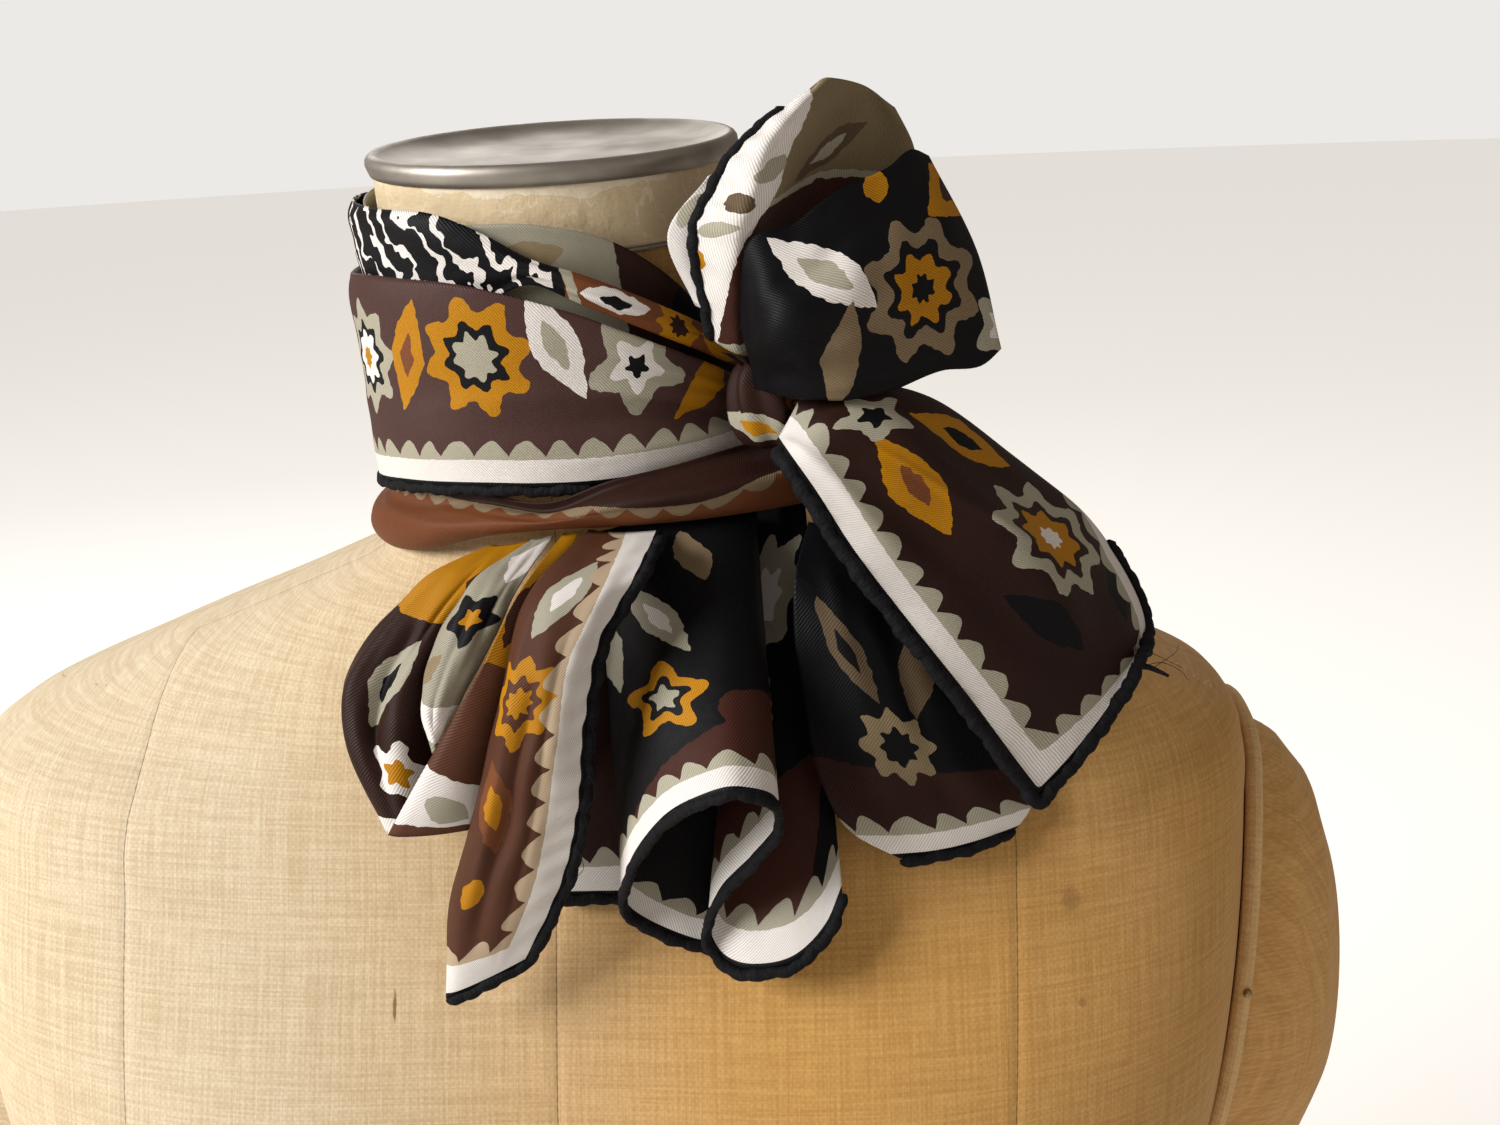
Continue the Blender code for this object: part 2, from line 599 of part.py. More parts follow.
def ear():
    front = panel(EAR_FRONT, {"top": 0.0, "belly": 0.5, "foot": 1.0}, 8, 10)
    wall("ear_front", folded(front, EAR_FRONT_FOLDS), BLACK_SILK)
    back = panel(EAR_BACK, EAR_BACK_LANES, 11, 10)
    wall("ear_back", back, SAGE_SILK)
    hem_beside("hem_ear", back[:-1, 0], back[:-1, 1], 16)
    wall("ear_under", panel(EAR_UNDER, LEFT_TO_RIGHT, 4, 6), WHITE_SILK)


def around_corner(points, side, skip):
    """The edge that runs down one side of a sheet and then along its foot, with the points inside it."""
    inner = 1 if side == 0 else -2
    foot = points[-1, 1:] if side == 0 else points[-1, -2::-1]
    above = points[-2, 1:] if side == 0 else points[-2, -2::-1]
    edge = np.concatenate([points[skip:, side], foot])
    inside = np.concatenate([points[skip:-1, inner], points[-2:-1, inner], above])
    return edge, inside


def tails():
    right = folded(panel(TAIL_RIGHT, LEFT_TO_RIGHT, 9, 13), TAIL_RIGHT_FOLDS)
    wall("tail_right", right, BROWN_SILK)
    hem_beside("hem_right", *around_corner(right, 0, 1), 26)
    under = panel(TAIL_RIGHT_UNDER, LEFT_TO_RIGHT, 8, 10)
    wall("tail_right_under", under, BLACK_SILK)
    hem_beside("hem_right_under", under[-1], under[-2], 10)
    wall("tail_loop", folded(panel(TAIL_LOOP, LEFT_TO_RIGHT, 11, 11), TAIL_LOOP_FOLDS), BROWN_SILK)
    wall("tail_loop_roll", panel(TAIL_LOOP_ROLL, LEFT_TO_RIGHT, 7, 8), SAGE_SILK)
    wall("tail_loop_front", panel(TAIL_LOOP_FRONT, LEFT_TO_RIGHT, 5, 8), OCHRE_SILK)
    point = folded(panel(TAIL_POINT, LEFT_TO_RIGHT, 9, 12), TAIL_POINT_FOLDS)
    wall("tail_point", point, RUST_SILK)
    hem_beside("hem_point", *around_corner(point, -1, 1), 26)
    behind = panel(TAIL_BEHIND, LEFT_TO_RIGHT, 4, 6)
    wall("tail_behind", behind, WHITE_SILK)
    hem_beside("hem_behind", behind[-1], behind[-2], 6)


def tail_centre():
    u, t = np.linspace(0, 1, 31), np.linspace(0, 1, 7)[None, :, None]
    head, foot = (
        np.stack([smooth(TAIL_CENTRE, "across", end + axis, u) for axis in ("_x", "_y", "_z")], -1)[:, None]
        for end in ("head", "foot")
    )
    points = head * (1 - t) + foot * t
    wall("tail_centre", points, BLACK_SILK, thickness=0.8)
    hem_beside("hem_centre", points[:, -1], points[:, -2], 44)


for old in list(bpy.data.objects):
    bpy.data.objects.remove(old, do_unlink=True)
torso()
base()
arm_cap(-1, "arm_cap_right")
arm_cap(1, "arm_cap_left")
neck()
turns_round_neck()
knot()
ear()
tails()
tail_centre()
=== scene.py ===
import math

import bpy
import numpy as np
from mathutils import Matrix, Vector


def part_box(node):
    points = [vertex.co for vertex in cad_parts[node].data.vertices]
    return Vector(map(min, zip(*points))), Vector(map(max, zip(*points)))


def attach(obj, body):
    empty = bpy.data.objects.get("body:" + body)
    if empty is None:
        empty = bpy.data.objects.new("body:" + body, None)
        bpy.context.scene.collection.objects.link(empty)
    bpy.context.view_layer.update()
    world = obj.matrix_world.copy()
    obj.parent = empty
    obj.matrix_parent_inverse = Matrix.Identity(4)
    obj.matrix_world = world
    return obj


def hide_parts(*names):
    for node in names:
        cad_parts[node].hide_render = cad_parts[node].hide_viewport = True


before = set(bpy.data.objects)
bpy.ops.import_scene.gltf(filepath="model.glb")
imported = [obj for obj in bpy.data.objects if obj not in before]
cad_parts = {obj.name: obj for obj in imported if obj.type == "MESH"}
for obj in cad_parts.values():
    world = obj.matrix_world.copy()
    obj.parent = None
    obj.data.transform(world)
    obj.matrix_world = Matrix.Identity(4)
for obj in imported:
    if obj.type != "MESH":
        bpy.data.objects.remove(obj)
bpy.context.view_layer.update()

# Camera
# The photograph looks down on the neck from close in front, and a little from the wearer's left.
# Its lens is a moderately wide one, so the neck is large against the shoulders.


def add(name, data):
    """A new object in the scene."""
    made = bpy.data.objects.new(name, data)
    bpy.context.scene.collection.objects.link(made)
    return made


camera_data = bpy.data.cameras.new("camera")
camera_data.sensor_width = 36.0
camera_data.lens = 33.9
camera_data.clip_start = 0.02
camera_data.clip_end = 60.0
camera_place = np.array((0.0807, -0.4158, 0.6909))
yaw, pitch, roll = (math.radians(angle) for angle in (-4.18, 18.43, 2.84))
forward = np.array((math.sin(yaw) * math.cos(pitch), math.cos(yaw) * math.cos(pitch), -math.sin(pitch)))
level = np.array((math.cos(yaw), -math.sin(yaw), 0.0))
upright = np.cross(level, forward)
right = level * math.cos(roll) - upright * math.sin(roll)
up = level * math.sin(roll) + upright * math.cos(roll)
turned_camera = np.eye(4)
turned_camera[:3] = np.stack([right, up, -forward, camera_place], axis=1)
camera = add("camera", camera_data)
camera.matrix_world = Matrix(turned_camera.tolist())
bpy.context.scene.camera = camera

# Studio
# A pale floor and one broad soft light from the left, like a window, with a weaker fill opposite. The
# camera sees the floor and the sky brighter than they light the form.
FLOOR_GLOW = 0.68
SKY_LIGHT = 0.24
SKY_SEEN = 0.84
LIGHTS = (
    ("window", (-2.1, -1.15, 1.75), 1.2, 92.0, (1.0, 0.985, 0.96)),
    ("fill", (1.6, -1.4, 1.0), 1.6, 4.0, (1.0, 0.90, 0.80)),
    ("rim", (-0.6, 1.6, 1.5), 1.0, 8.0, (1.0, 0.98, 0.96)),
)
LIT_PLACE = (0.02, -0.03, 0.58)


def wire(tree, node, inputs):
    """Wires a node's inputs to sockets, or sets them to values. Colours are given without their alpha."""
    for name, value in inputs.items():
        if isinstance(value, bpy.types.NodeSocket):
            tree.links.new(value, node.inputs[name])
        else:
            node.inputs[name].default_value = (*value, 1.0) if node.inputs[name].type == "RGBA" else value


def put(tree, kind, inputs=None, **settings):
    """A node with its settings, whose inputs are wired or set."""
    made = tree.nodes.new(kind)
    made.location = (180 * (len(tree.nodes) % 12), -220 * (len(tree.nodes) // 12))
    for name, value in settings.items():
        setattr(made, name, value)
    wire(tree, made, inputs or {})
    return made


def calc(tree, operation, *values):
    """One step of arithmetic on sockets and numbers."""
    return put(tree, "ShaderNodeMath", dict(enumerate(values)), operation=operation).outputs[0]


def blend(tree, below, above, mask, kind="MIX"):
    """The colour `above` laid over `below` where the mask is 1."""
    layers = {0: mask, 6: below, 7: above}
    return put(tree, "ShaderNodeMix", layers, data_type="RGBA", blend_type=kind).outputs[2]


def new_material(name):
    """A material with its node tree and its shader."""
    made = bpy.data.materials.new(name)
    made.use_nodes = True
    return made, made.node_tree, made.node_tree.nodes["Principled BSDF"]


bpy.context.scene.view_settings.view_transform = "Standard"
bpy.ops.mesh.primitive_circle_add(vertices=96, radius=14.0, fill_type="NGON", location=(0, 0, -0.001))
floor = bpy.context.object
floor.name = "studio_floor"
pale_floor, tree, shader = new_material("pale_floor")
seen = put(tree, "ShaderNodeLightPath").outputs["Is Camera Ray"]
floor_look = {"Base Color": (0.80, 0.78, 0.745), "Roughness": 0.9, "Emission Color": (0.84, 0.82, 0.79)}
wire(tree, shader, {**floor_look, "Emission Strength": calc(tree, "MULTIPLY", seen, FLOOR_GLOW)})
floor.data.materials.append(pale_floor)
sky = bpy.data.worlds.new("studio")
bpy.context.scene.world = sky
sky.use_nodes = True
tree = sky.node_tree
seen = put(tree, "ShaderNodeLightPath").outputs["Is Camera Ray"]
sky_colour = blend(tree, (1.0, 0.88, 0.76), (1.0, 0.975, 0.945), seen)
sky_strength = calc(tree, "MULTIPLY_ADD", seen, SKY_SEEN - SKY_LIGHT, SKY_LIGHT)
wire(tree, tree.nodes["Background"], {"Color": sky_colour, "Strength": sky_strength})
for name, place, size, power, colour in LIGHTS:
    lamp_data = bpy.data.lights.new(name, "AREA")
    lamp_data.size, lamp_data.energy, lamp_data.color = size, power, colour
    lamp = add(name, lamp_data)
    lamp.location = place
    aim_x, aim_y, aim_z = np.array(LIT_PLACE) - np.array(place)
    tilt, heading = math.atan2(math.hypot(aim_x, aim_y), -aim_z), math.atan2(aim_y, aim_x) - math.pi / 2
    lamp.rotation_euler = (tilt, 0.0, heading)

# Torso
# A padded shell covered in plain linen, cut in panels that meet at fine seams down the front, the bust,
# the sides and the back. Old linen is streaked, with a few small stains, and shade is painted into it:
# it turns darker and more orange towards the wearer's left.
MM = 0.001
NECK_LEAN = 0.084


def table(names, *rows):
    """A table of sections as one array for each named column."""
    return dict(zip(names.split(), np.array(rows, float).T))


def smooth(rows, key, name, at):
    """Column `name` at the places `at` of column `key`, on a smooth curve through every row."""
    x, y = rows[key], rows[name]
    slope = np.gradient(y, x)
    at = np.clip(np.asarray(at, float), x[0], x[-1])
    i = np.clip(np.searchsorted(x, at, side="right") - 1, 0, len(x) - 2)
    step = x[i + 1] - x[i]
    t = (at - x[i]) / step
    start = (1 + 2 * t) * (1 - t) ** 2 * y[i] + t * (1 - t) ** 2 * step * slope[i]
    end = t * t * (3 - 2 * t) * y[i + 1] - t * t * (1 - t) * step * slope[i + 1]
    return start + end


def surface(name, points, uvs, closed=False, ends=False):
    """A mesh from a grid of points in the neck's millimetres, with named maps of millimetres on it.

    Each map has one more row than the points where the grid is closed."""
    rows, columns = points.shape[:2]
    spans = rows if closed else rows - 1
    faces = []
    corners = []
    for i in range(spans):
        below, above = i * columns, (i + 1) % rows * columns
        for k in range(columns - 1):
            faces.append((below + k, above + k, above + k + 1, below + k + 1))
            corners.append(((i, k), (i + 1, k), (i + 1, k + 1), (i, k + 1)))
    if ends:
        faces.append(tuple(i * columns for i in range(rows)))
        faces.append(tuple(i * columns + columns - 1 for i in range(rows)))
        corners.extend([[(i, 0) for i in range(rows)], [(i, columns - 1) for i in range(rows)]])
    mesh = bpy.data.meshes.new(name)
    lifted = points.reshape(-1, 3) + (0.0, 0.0, CAP_HEIGHT)
    mesh.from_pydata((lifted * MM).tolist(), [], faces)
    places = np.array([place for corner in corners for place in corner])
    for label, values in uvs.items():
        layer = mesh.uv_layers.new(name=label)
        layer.data.foreach_set("uv", values[places[:, 0], places[:, 1]].astype(np.float32).ravel())
    mesh.shade_smooth()
    return add(name, mesh)


def dress(piece, material, node=None):
    """Gives a piece its material, fixes it to the part and hides the solid that it stands for."""
    piece.data.materials.append(material)
    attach(piece, "root")
    if node:
        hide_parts(node)


def run_length(points):
    """How far along its line each point lies."""
    return np.concatenate([[0.0], np.cumsum(np.linalg.norm(np.diff(points, axis=0), axis=1))])


def grid(first, second):
    """A map whose two numbers run along the rows and along the columns."""
    return np.stack(np.meshgrid(first, second, indexing="ij"), -1)


def node_group(name, inputs, outputs):
    """A shader node group with named sockets: its tree, what comes in, and the node that takes its results.

    An input whose value is a number is a number's socket, and any other is a vector's."""
    group = bpy.data.node_groups.new(name, "ShaderNodeTree")
    for label, value in inputs.items():
        kind = "NodeSocketFloat" if isinstance(value, float) else "NodeSocketVector"
        made = group.interface.new_socket(label, in_out="INPUT", socket_type=kind)
        if value is not None:
            made.default_value = value
    for label in outputs:
        group.interface.new_socket(label, in_out="OUTPUT", socket_type="NodeSocketFloat")
    return group, group.nodes.new("NodeGroupInput").outputs, group.nodes.new("NodeGroupOutput")


def use(tree, group, inputs):
    """The outputs of a shader node group that is placed in a tree."""
    return put(tree, "ShaderNodeGroup", inputs, node_tree=group).outputs


def vector_calc(tree, operation, *values):
    """One step of arithmetic on vectors."""
    return put(tree, "ShaderNodeVectorMath", dict(enumerate(values)), operation=operation).outputs[0]


def split(tree, vector):
    """A vector's three numbers, by axis."""
    return put(tree, "ShaderNodeSeparateXYZ", {0: vector}).outputs


def clamped(tree, value, top=1.0):
    """A value kept from 0 to `top`."""
    return put(tree, "ShaderNodeClamp", {0: value, 2: top}).outputs[0]


def cloth_place(tree, name="cloth"):
    """Millimetres on one of a piece's maps."""
    return put(tree, "ShaderNodeUVMap", uv_map=name).outputs[0]


def solid_place(tree):
    """Metres in the piece's own space."""
    return put(tree, "ShaderNodeTexCoord").outputs["Object"]


def bump(tree, height, distance, strength=1.0):
    """The normal of a surface with this relief."""
    relief = {"Height": height, "Distance": distance, "Strength": strength}
    return put(tree, "ShaderNodeBump", relief).outputs[0]


def noise(tree, vector, scale, detail=2.0, result="Fac"):
    """A soft random value from 0 to 1."""
    settings = {"Vector": vector, "Scale": scale, "Detail": detail}
    return put(tree, "ShaderNodeTexNoise", settings).outputs[result]


def stretched(tree, vector, across, along):
    """A map scaled unevenly, for streaks."""
    return vector_calc(tree, "MULTIPLY", vector, (across, along, 1.0))


# Crossed threads of a pitch in millimetres, with the thick places called slubs in both directions
linen_weave, given, result = node_group("linen weave", {"Cloth": None, "Thread": 1.0}, ("Weave", "Slubs"))
tree = linen_weave
wander = noise(tree, given["Cloth"], 0.11)
cloth_xy = split(tree, given["Cloth"])
waves = []
for axis in "XY":
    moved = calc(tree, "MULTIPLY_ADD", wander, 1.6, cloth_xy[axis])
    turns = calc(tree, "DIVIDE", calc(tree, "MULTIPLY", moved, math.pi), given["Thread"])
    waves.append(calc(tree, "SINE", turns))
uneven = []
for across, along in ((0.16, 2.1), (2.1, 0.16), (0.025, 1.0), (1.0, 0.025)):
    uneven.append(noise(tree, stretched(tree, given["Cloth"], across, along), 1.0))
fine_threads = calc(tree, "MULTIPLY", calc(tree, "ADD", *uneven[:2]), 0.5)
woven = calc(tree, "MULTIPLY_ADD", calc(tree, "MULTIPLY", *waves), 0.07, fine_threads)
slubs = calc(tree, "MULTIPLY", calc(tree, "ADD", *uneven[2:]), 0.5)
wire(tree, result, {"Weave": woven, "Slubs": slubs})

# A sewn seam where the map's X is 0, pinched at each stitch, and the pull of the cloth on both sides of it
seam_line, given, result = node_group("seam line", {"Seam": None}, ("Line", "Pucker"))
tree = seam_line
seam_xy = split(tree, given["Seam"])
off_seam = calc(tree, "ABSOLUTE", seam_xy["X"])
width = calc(tree, "MULTIPLY_ADD", calc(tree, "PINGPONG", seam_xy["Y"], 1.3), 0.16, 0.16)
for label, reach in (("Line", width), ("Pucker", 2.6)):
    near = calc(tree, "SUBTRACT", 1.0, calc(tree, "DIVIDE", off_seam, reach))
    wire(tree, result, {label: calc(tree, "MAXIMUM", near, 0.0)})


SLUB_TINT = (0.74, 0.66, 0.56)
GAP_TINT = (0.76, 0.68, 0.58)
STAIN_BROWN = (0.16, 0.08, 0.03)
SEAM_BROWN = (0.10, 0.055, 0.025)


def linen(name, pale, shaded_tone, marks=()):
    """Aged linen with painted shade, which turns it darker and more orange towards the wearer's left.

    Each mark is a stain: its place and size in metres, and its strength."""
    made, tree, shader = new_material(name)
    weave = use(tree, linen_weave, {"Cloth": cloth_place(tree), "Thread": 0.95})
    stitched = use(tree, seam_line, {"Seam": cloth_place(tree, "seam")})
    place = solid_place(tree)
    cloudy = calc(tree, "MULTIPLY_ADD", noise(tree, place, 9.0, 4.0), 0.5, -0.25)
    # Painted shade: across the front, the colour goes from the lit tone to a darker, more orange shaded tone
    # towards the wearer's left. Random cloudy tone is laid over it.
    toward_shaded_side = {"Value": split(tree, place)["X"], "From Min": -0.10, "From Max": 0.07}
    browning_and_painted_shade = put(tree, "ShaderNodeMapRange", toward_shaded_side, interpolation_type="SMOOTHSTEP").outputs[0]
    colour = blend(tree, pale, shaded_tone, clamped(tree, calc(tree, "ADD", browning_and_painted_shade, cloudy)))
    threads = clamped(tree, calc(tree, "MULTIPLY_ADD", weave["Slubs"], 3.2, -1.35), 0.55)
    colour = blend(tree, colour, SLUB_TINT, threads, "MULTIPLY")
    between = clamped(tree, calc(tree, "MULTIPLY_ADD", weave["Weave"], -3.0, 1.8), 0.5)
    colour = blend(tree, colour, GAP_TINT, between, "MULTIPLY")
    for spot, size, strength in marks:
        gap = vector_calc(tree, "DIVIDE", vector_calc(tree, "SUBTRACT", place, spot), size)
        far = put(tree, "ShaderNodeVectorMath", {0: gap}, operation="LENGTH").outputs["Value"]
        ragged = calc(tree, "MULTIPLY_ADD", noise(tree, place, 700.0), 0.9, far)
        mask = clamped(tree, calc(tree, "MULTIPLY", calc(tree, "SUBTRACT", 1.45, ragged), 2.2))
        colour = blend(tree, colour, STAIN_BROWN, calc(tree, "MULTIPLY", mask, strength))
    colour = blend(tree, colour, SEAM_BROWN, calc(tree, "MULTIPLY", stitched["Line"], 0.85))
    height = calc(tree, "MULTIPLY_ADD", weave["Slubs"], 0.7, weave["Weave"])
    height = calc(tree, "SUBTRACT", height, calc(tree, "MULTIPLY", stitched["Pucker"], 2.5))
    relief = bump(tree, height, 0.00022, 0.55)
    wire(tree, shader, {"Base Color": colour, "Roughness": 0.88, "Sheen Weight": 0.12, "Normal": relief})
    wire(tree, shader, {"Specular IOR Level": 0.25})
    return made


# How wide the torso is and how far it reaches before and behind the neck's axis, at heights counted
# from the middle of the neck cap, in millimetres
TORSO = table(
    "height half front back square",
    (-668, 172, 112, 114, 2.2),
    (-635, 173, 112, 114, 2.2),
    (-560, 152, 101, 99, 2.2),
    (-480, 124, 88, 80, 2.1),
    (-420, 144, 101, 87, 2.3),
    (-370, 168, 114, 95, 2.7),
    (-310, 187, 121, 102, 3.1),
    (-250, 195, 112, 105, 3.4),
    (-215, 198, 98, 102, 3.3),
    (-195, 199, 89, 99, 3.1),
    (-180, 199, 84, 96, 2.9),
    (-169, 195, 80, 93, 2.5),
    (-161, 180, 76, 90, 2.2),
    (-151, 155, 72, 87, 2.1),
    (-141, 130, 68, 84, 2.0),
    (-132, 105, 63, 80, 2.0),
    (-124, 84, 57, 77, 2.0),
    (-117, 66, 52, 73, 2.0),
    (-109, 56, 47, 67, 2.0),
    (-95, 53, 46, 62, 2.0),
    (-60, 51, 46, 56, 2.0),
    (-23.5, 50, 48, 52, 2.0),
)
TORSO_SIDES = 200
NECK_FOOT = -105.0
NECK_TOP = -23.5
FINE_LEVELS_FROM = -205
CAP_HEIGHT = 1000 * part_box("form_torso")[0][2] - TORSO["height"][0]
BUST = {"height": -295.0, "apart": 82.0, "spread": 52.0, "proud": 12.0}
BUST_SEAM = {"share": 0.62, "least": 122.0, "most_share": 0.97, "upward_from": -230.0}
BACK_SEAM_SHARE = 0.52


def torso_ring(height):
    """One level section of the torso, from the middle of its back round by the wearer's right."""
    columns = ("half", "front", "back", "square")
    half, front, back, square = (float(smooth(TORSO, "height", name, height)) for name in columns)
    turn = 2 * math.pi * (np.arange(TORSO_SIDES) / TORSO_SIDES - 0.5)
    x = half * np.sign(np.sin(turn)) * abs(np.sin(turn)) ** (2 / square)
    to_front = np.cos(turn) > 0
    y = -np.where(to_front, front, back) * np.sign(np.cos(turn)) * abs(np.cos(turn)) ** (2 / square)
    level_share = math.exp(-(((height - BUST["height"]) / BUST["spread"]) ** 2))
    apart_share = np.exp(-(((abs(x) - BUST["apart"]) / BUST["spread"]) ** 2))
    y -= np.where(to_front, BUST["proud"] * level_share * apart_share, 0.0)
    tilt = NECK_LEAN * max(0.0, (height - NECK_FOOT) / (NECK_TOP - NECK_FOOT))
    return np.stack([x, y, height + tilt * y], -1)


def seam_map(ring, height):
    """How far each point of a ring is from its nearest seam, and its place along the ring from the front.

    The first has a sign that changes only at a seam."""
    round_it = run_length(np.concatenate([ring, ring[:1]]))
    arc = round_it - round_it[-1] / 2
    half = ring[:, 0].max()
    at = BUST_SEAM["share"] * half
    if height > BUST_SEAM["upward_from"]:
        at = max(at, min(BUST_SEAM["least"], BUST_SEAM["most_share"] * half))
    middle = TORSO_SIDES // 2
    quarter = middle + TORSO_SIDES // 4
    bust = np.interp(at, ring[middle:quarter + 1, 0], arc[middle:quarter + 1])
    side = arc[quarter + 2]
    end = arc[-1]
    seams = np.array([0.0, bust, side, side + BACK_SEAM_SHARE * (end - side), end])
    which = np.clip(np.searchsorted(seams, abs(arc), side="right") - 1, 0, len(seams) - 2)
    nearest = np.minimum(abs(arc) - seams[which], seams[which + 1] - abs(arc))
    off_seam = np.sign(arc) * nearest * np.where(which % 2, -1, 1)
    return np.stack([off_seam, np.full(len(arc), height)], -1), arc


coarse_levels = np.arange(TORSO["height"][0], FINE_LEVELS_FROM, 7.0)
levels = np.concatenate([coarse_levels, np.arange(FINE_LEVELS_FROM, NECK_TOP, 3.0), [NECK_TOP]])
rings = [torso_ring(height) for height in levels]
maps = [seam_map(ring, height) for ring, height in zip(rings, levels)]
torso_points = np.stack(rings, axis=1)
torso_map = [np.stack([arc, np.full(len(arc), height)], -1) for (_, arc), height in zip(maps, levels)]
torso_uvs = {"cloth": np.stack(torso_map, axis=1), "seam": np.stack([seam for seam, _ in maps], axis=1)}
torso_cover = surface("torso_cover", torso_points, torso_uvs, closed=True, ends=True)
# The lit tone of the linen, and the painted shade it takes at the wearer's left
LIT_LINEN = (0.74, 0.64, 0.465)
SHADED_LINEN = (0.64, 0.37, 0.115)
STAINS = (
    ((0.138, -0.077, 0.481), (0.0032, 0.02, 0.0038), 0.35),
    ((0.140, -0.083, 0.456), (0.0016, 0.02, 0.0016), 0.4),
    ((-0.044, -0.099, 0.462), (0.0006, 0.02, 0.0042), 0.8),
)
dress(torso_cover, linen("torso_linen", LIT_LINEN, SHADED_LINEN, STAINS), "form_torso")

# Shoulder caps
# Two padded discs covered in the same linen close the armholes. Each is edged with a cord that is
# wrapped in linen and sewn into the seam.
ARM = {
    "middle": -274.0,
    "tall": 94.0,
    "deep": 58.0,
    "behind": 3.0,
    "plane": 197.0,
    "proud": 39.0,
    "clear": 2.4,
}
ARM_SECTION = table(
    "share cord dome",
    (1.05, 0.4, 0.00),
    (1.03, 1.0, 0.00),
    (0.98, 1.0, 0.00),
    (0.95, 0.3, 0.05),
    (0.88, 0.0, 0.40),
    (0.75, 0.0, 0.68),
    (0.53, 0.0, 0.88),
    (0.28, 0.0, 0.97),
    (0.03, 0.0, 1.00),
)
ARM_CORD = {"share": 1.005, "out": 3.0, "radius": 2.6}
ARM_ROUND = 480.0
ARM_ACROSS = 60.0
CORD_ROUND = 16.0
OFF_SEAM = 30.0
ARM_SIDES = 120
CORD_SIDES = 15
PUCKERS = {"count": 34, "proud": 0.7, "from_share": 0.8}


def side_of_torso(y, height):
    """How far out the torso's side is at a depth and a height."""
    half = smooth(TORSO, "height", "half", height)
    depth = np.where(y < 0, smooth(TORSO, "height", "front", height), smooth(TORSO, "height", "back", height))
    square = smooth(TORSO, "height", "square", height)
    return half * np.maximum(1 - (abs(y) / depth) ** square, 0.0) ** (1 / square)


def arm_oval(share):
    """The armhole's oval, grown or shrunk by `share`: depths and heights."""
    turn = 2 * math.pi * np.arange(ARM_SIDES) / ARM_SIDES
    y = ARM["behind"] + share * ARM["deep"] * np.cos(turn)
    return y, ARM["middle"] + share * ARM["tall"] * np.sin(turn)


def unit(vectors):
    """The same directions at length 1."""
    return vectors / np.linalg.norm(vectors, axis=-1, keepdims=True)


def rings_round(path, out, lift, radius, turn):
    """A ring of points round each point of a path, in the plane of its directions `out` and `lift`."""
    turn = turn[None, :, None]
    return path[:, None] + radius * (np.cos(turn) * out[:, None] + np.sin(turn) * lift[:, None])


# Painted shade here too: the cap and cord at the wearer's left take the darker, orange shaded tone, and those
# at the right take the lit one.
cap_linen = linen("shoulder_linen", (0.70, 0.57, 0.39), (0.72, 0.43, 0.16))
cord_linen = linen("piping_linen", (0.78, 0.66, 0.47), (0.80, 0.55, 0.27))
for side, word in ((-1, "right"), (1, "left")):
    shares = np.linspace(0.985, 0.02, 60)
    outer = []
    for share in shares:
        y, z = arm_oval(share)
        seam_x = side_of_torso(y, z) + ARM["clear"]
        dome = np.interp(share, ARM_SECTION["share"][::-1], ARM_SECTION["dome"][::-1])
        near_seam = max(0.0, share - PUCKERS["from_share"]) / (1 - PUCKERS["from_share"])
        wave = np.sin(PUCKERS["count"] * np.linspace(0, 2 * math.pi, ARM_SIDES))
        out = seam_x + dome * (ARM["plane"] + ARM["proud"] - seam_x) + PUCKERS["proud"] * near_seam * wave
        outer.append(np.stack([side * out, y, z], -1))
    points = np.stack(outer, axis=1)
    flat_map = np.concatenate([points[:, :, 1:], points[:1, :, 1:]])
    rim_distance = np.repeat((shares[0] - shares)[None] * ARM_ACROSS, ARM_SIDES + 1, axis=0)
    along = np.linspace(0, ARM_ROUND, ARM_SIDES + 1)[:, None] + 0 * rim_distance
    seam = np.stack([rim_distance, along], -1)
    cover = surface("shoulder_cap_" + word, points, {"cloth": flat_map, "seam": seam}, closed=True, ends=True)
    dress(cover, cap_linen, "arm_cap_" + word)
    y, z = arm_oval(ARM_CORD["share"])
    centre = np.stack([side * (side_of_torso(y, z) + ARM_CORD["out"]), y, z], -1)
    ahead = unit(np.roll(centre, -1, 0) - np.roll(centre, 1, 0))
    outward = unit(np.cross(ahead, (float(side), 0.0, 0.0)))
    turn = np.linspace(0, 2 * math.pi, CORD_SIDES)
    cord = rings_round(centre, outward, np.cross(outward, ahead), ARM_CORD["radius"], turn)
    round_map = grid(np.linspace(0, ARM_ROUND, ARM_SIDES + 1), np.linspace(0, CORD_ROUND, CORD_SIDES))
    away = np.stack([np.full(round_map.shape[:2], OFF_SEAM), round_map[..., 0]], -1)
    piping = surface("armhole_cord_" + word, cord, {"cloth": round_map, "seam": away}, closed=True)
    dress(piping, cord_linen)

# Pin
# A dressmaker's pin of brass wire with a round head. It is pushed into the cord at the wearer's left, and
# only its head shows.
PIN_HEAD = [(0.5, -0.5), (1.0, -0.2), (1.35, 0.3), (1.3, 0.9), (0.9, 1.35), (0.4, 1.5), (0.05, 1.52)]
PIN_AT = {"turn": math.radians(163.5), "lift": 2.4}
PIN_SIDES = 24
pin_y = ARM["behind"] + ARM_CORD["share"] * ARM["deep"] * math.cos(PIN_AT["turn"])
pin_z = ARM["middle"] + ARM_CORD["share"] * ARM["tall"] * math.sin(PIN_AT["turn"])
pin_centre = np.array((float(side_of_torso(np.array(pin_y), pin_z)) + ARM_CORD["out"], pin_y, pin_z))
pin_way = unit((0.25, -0.95, 0.18))
pin_side = unit(np.cross(pin_way, (0.0, 0.0, 1.0)))
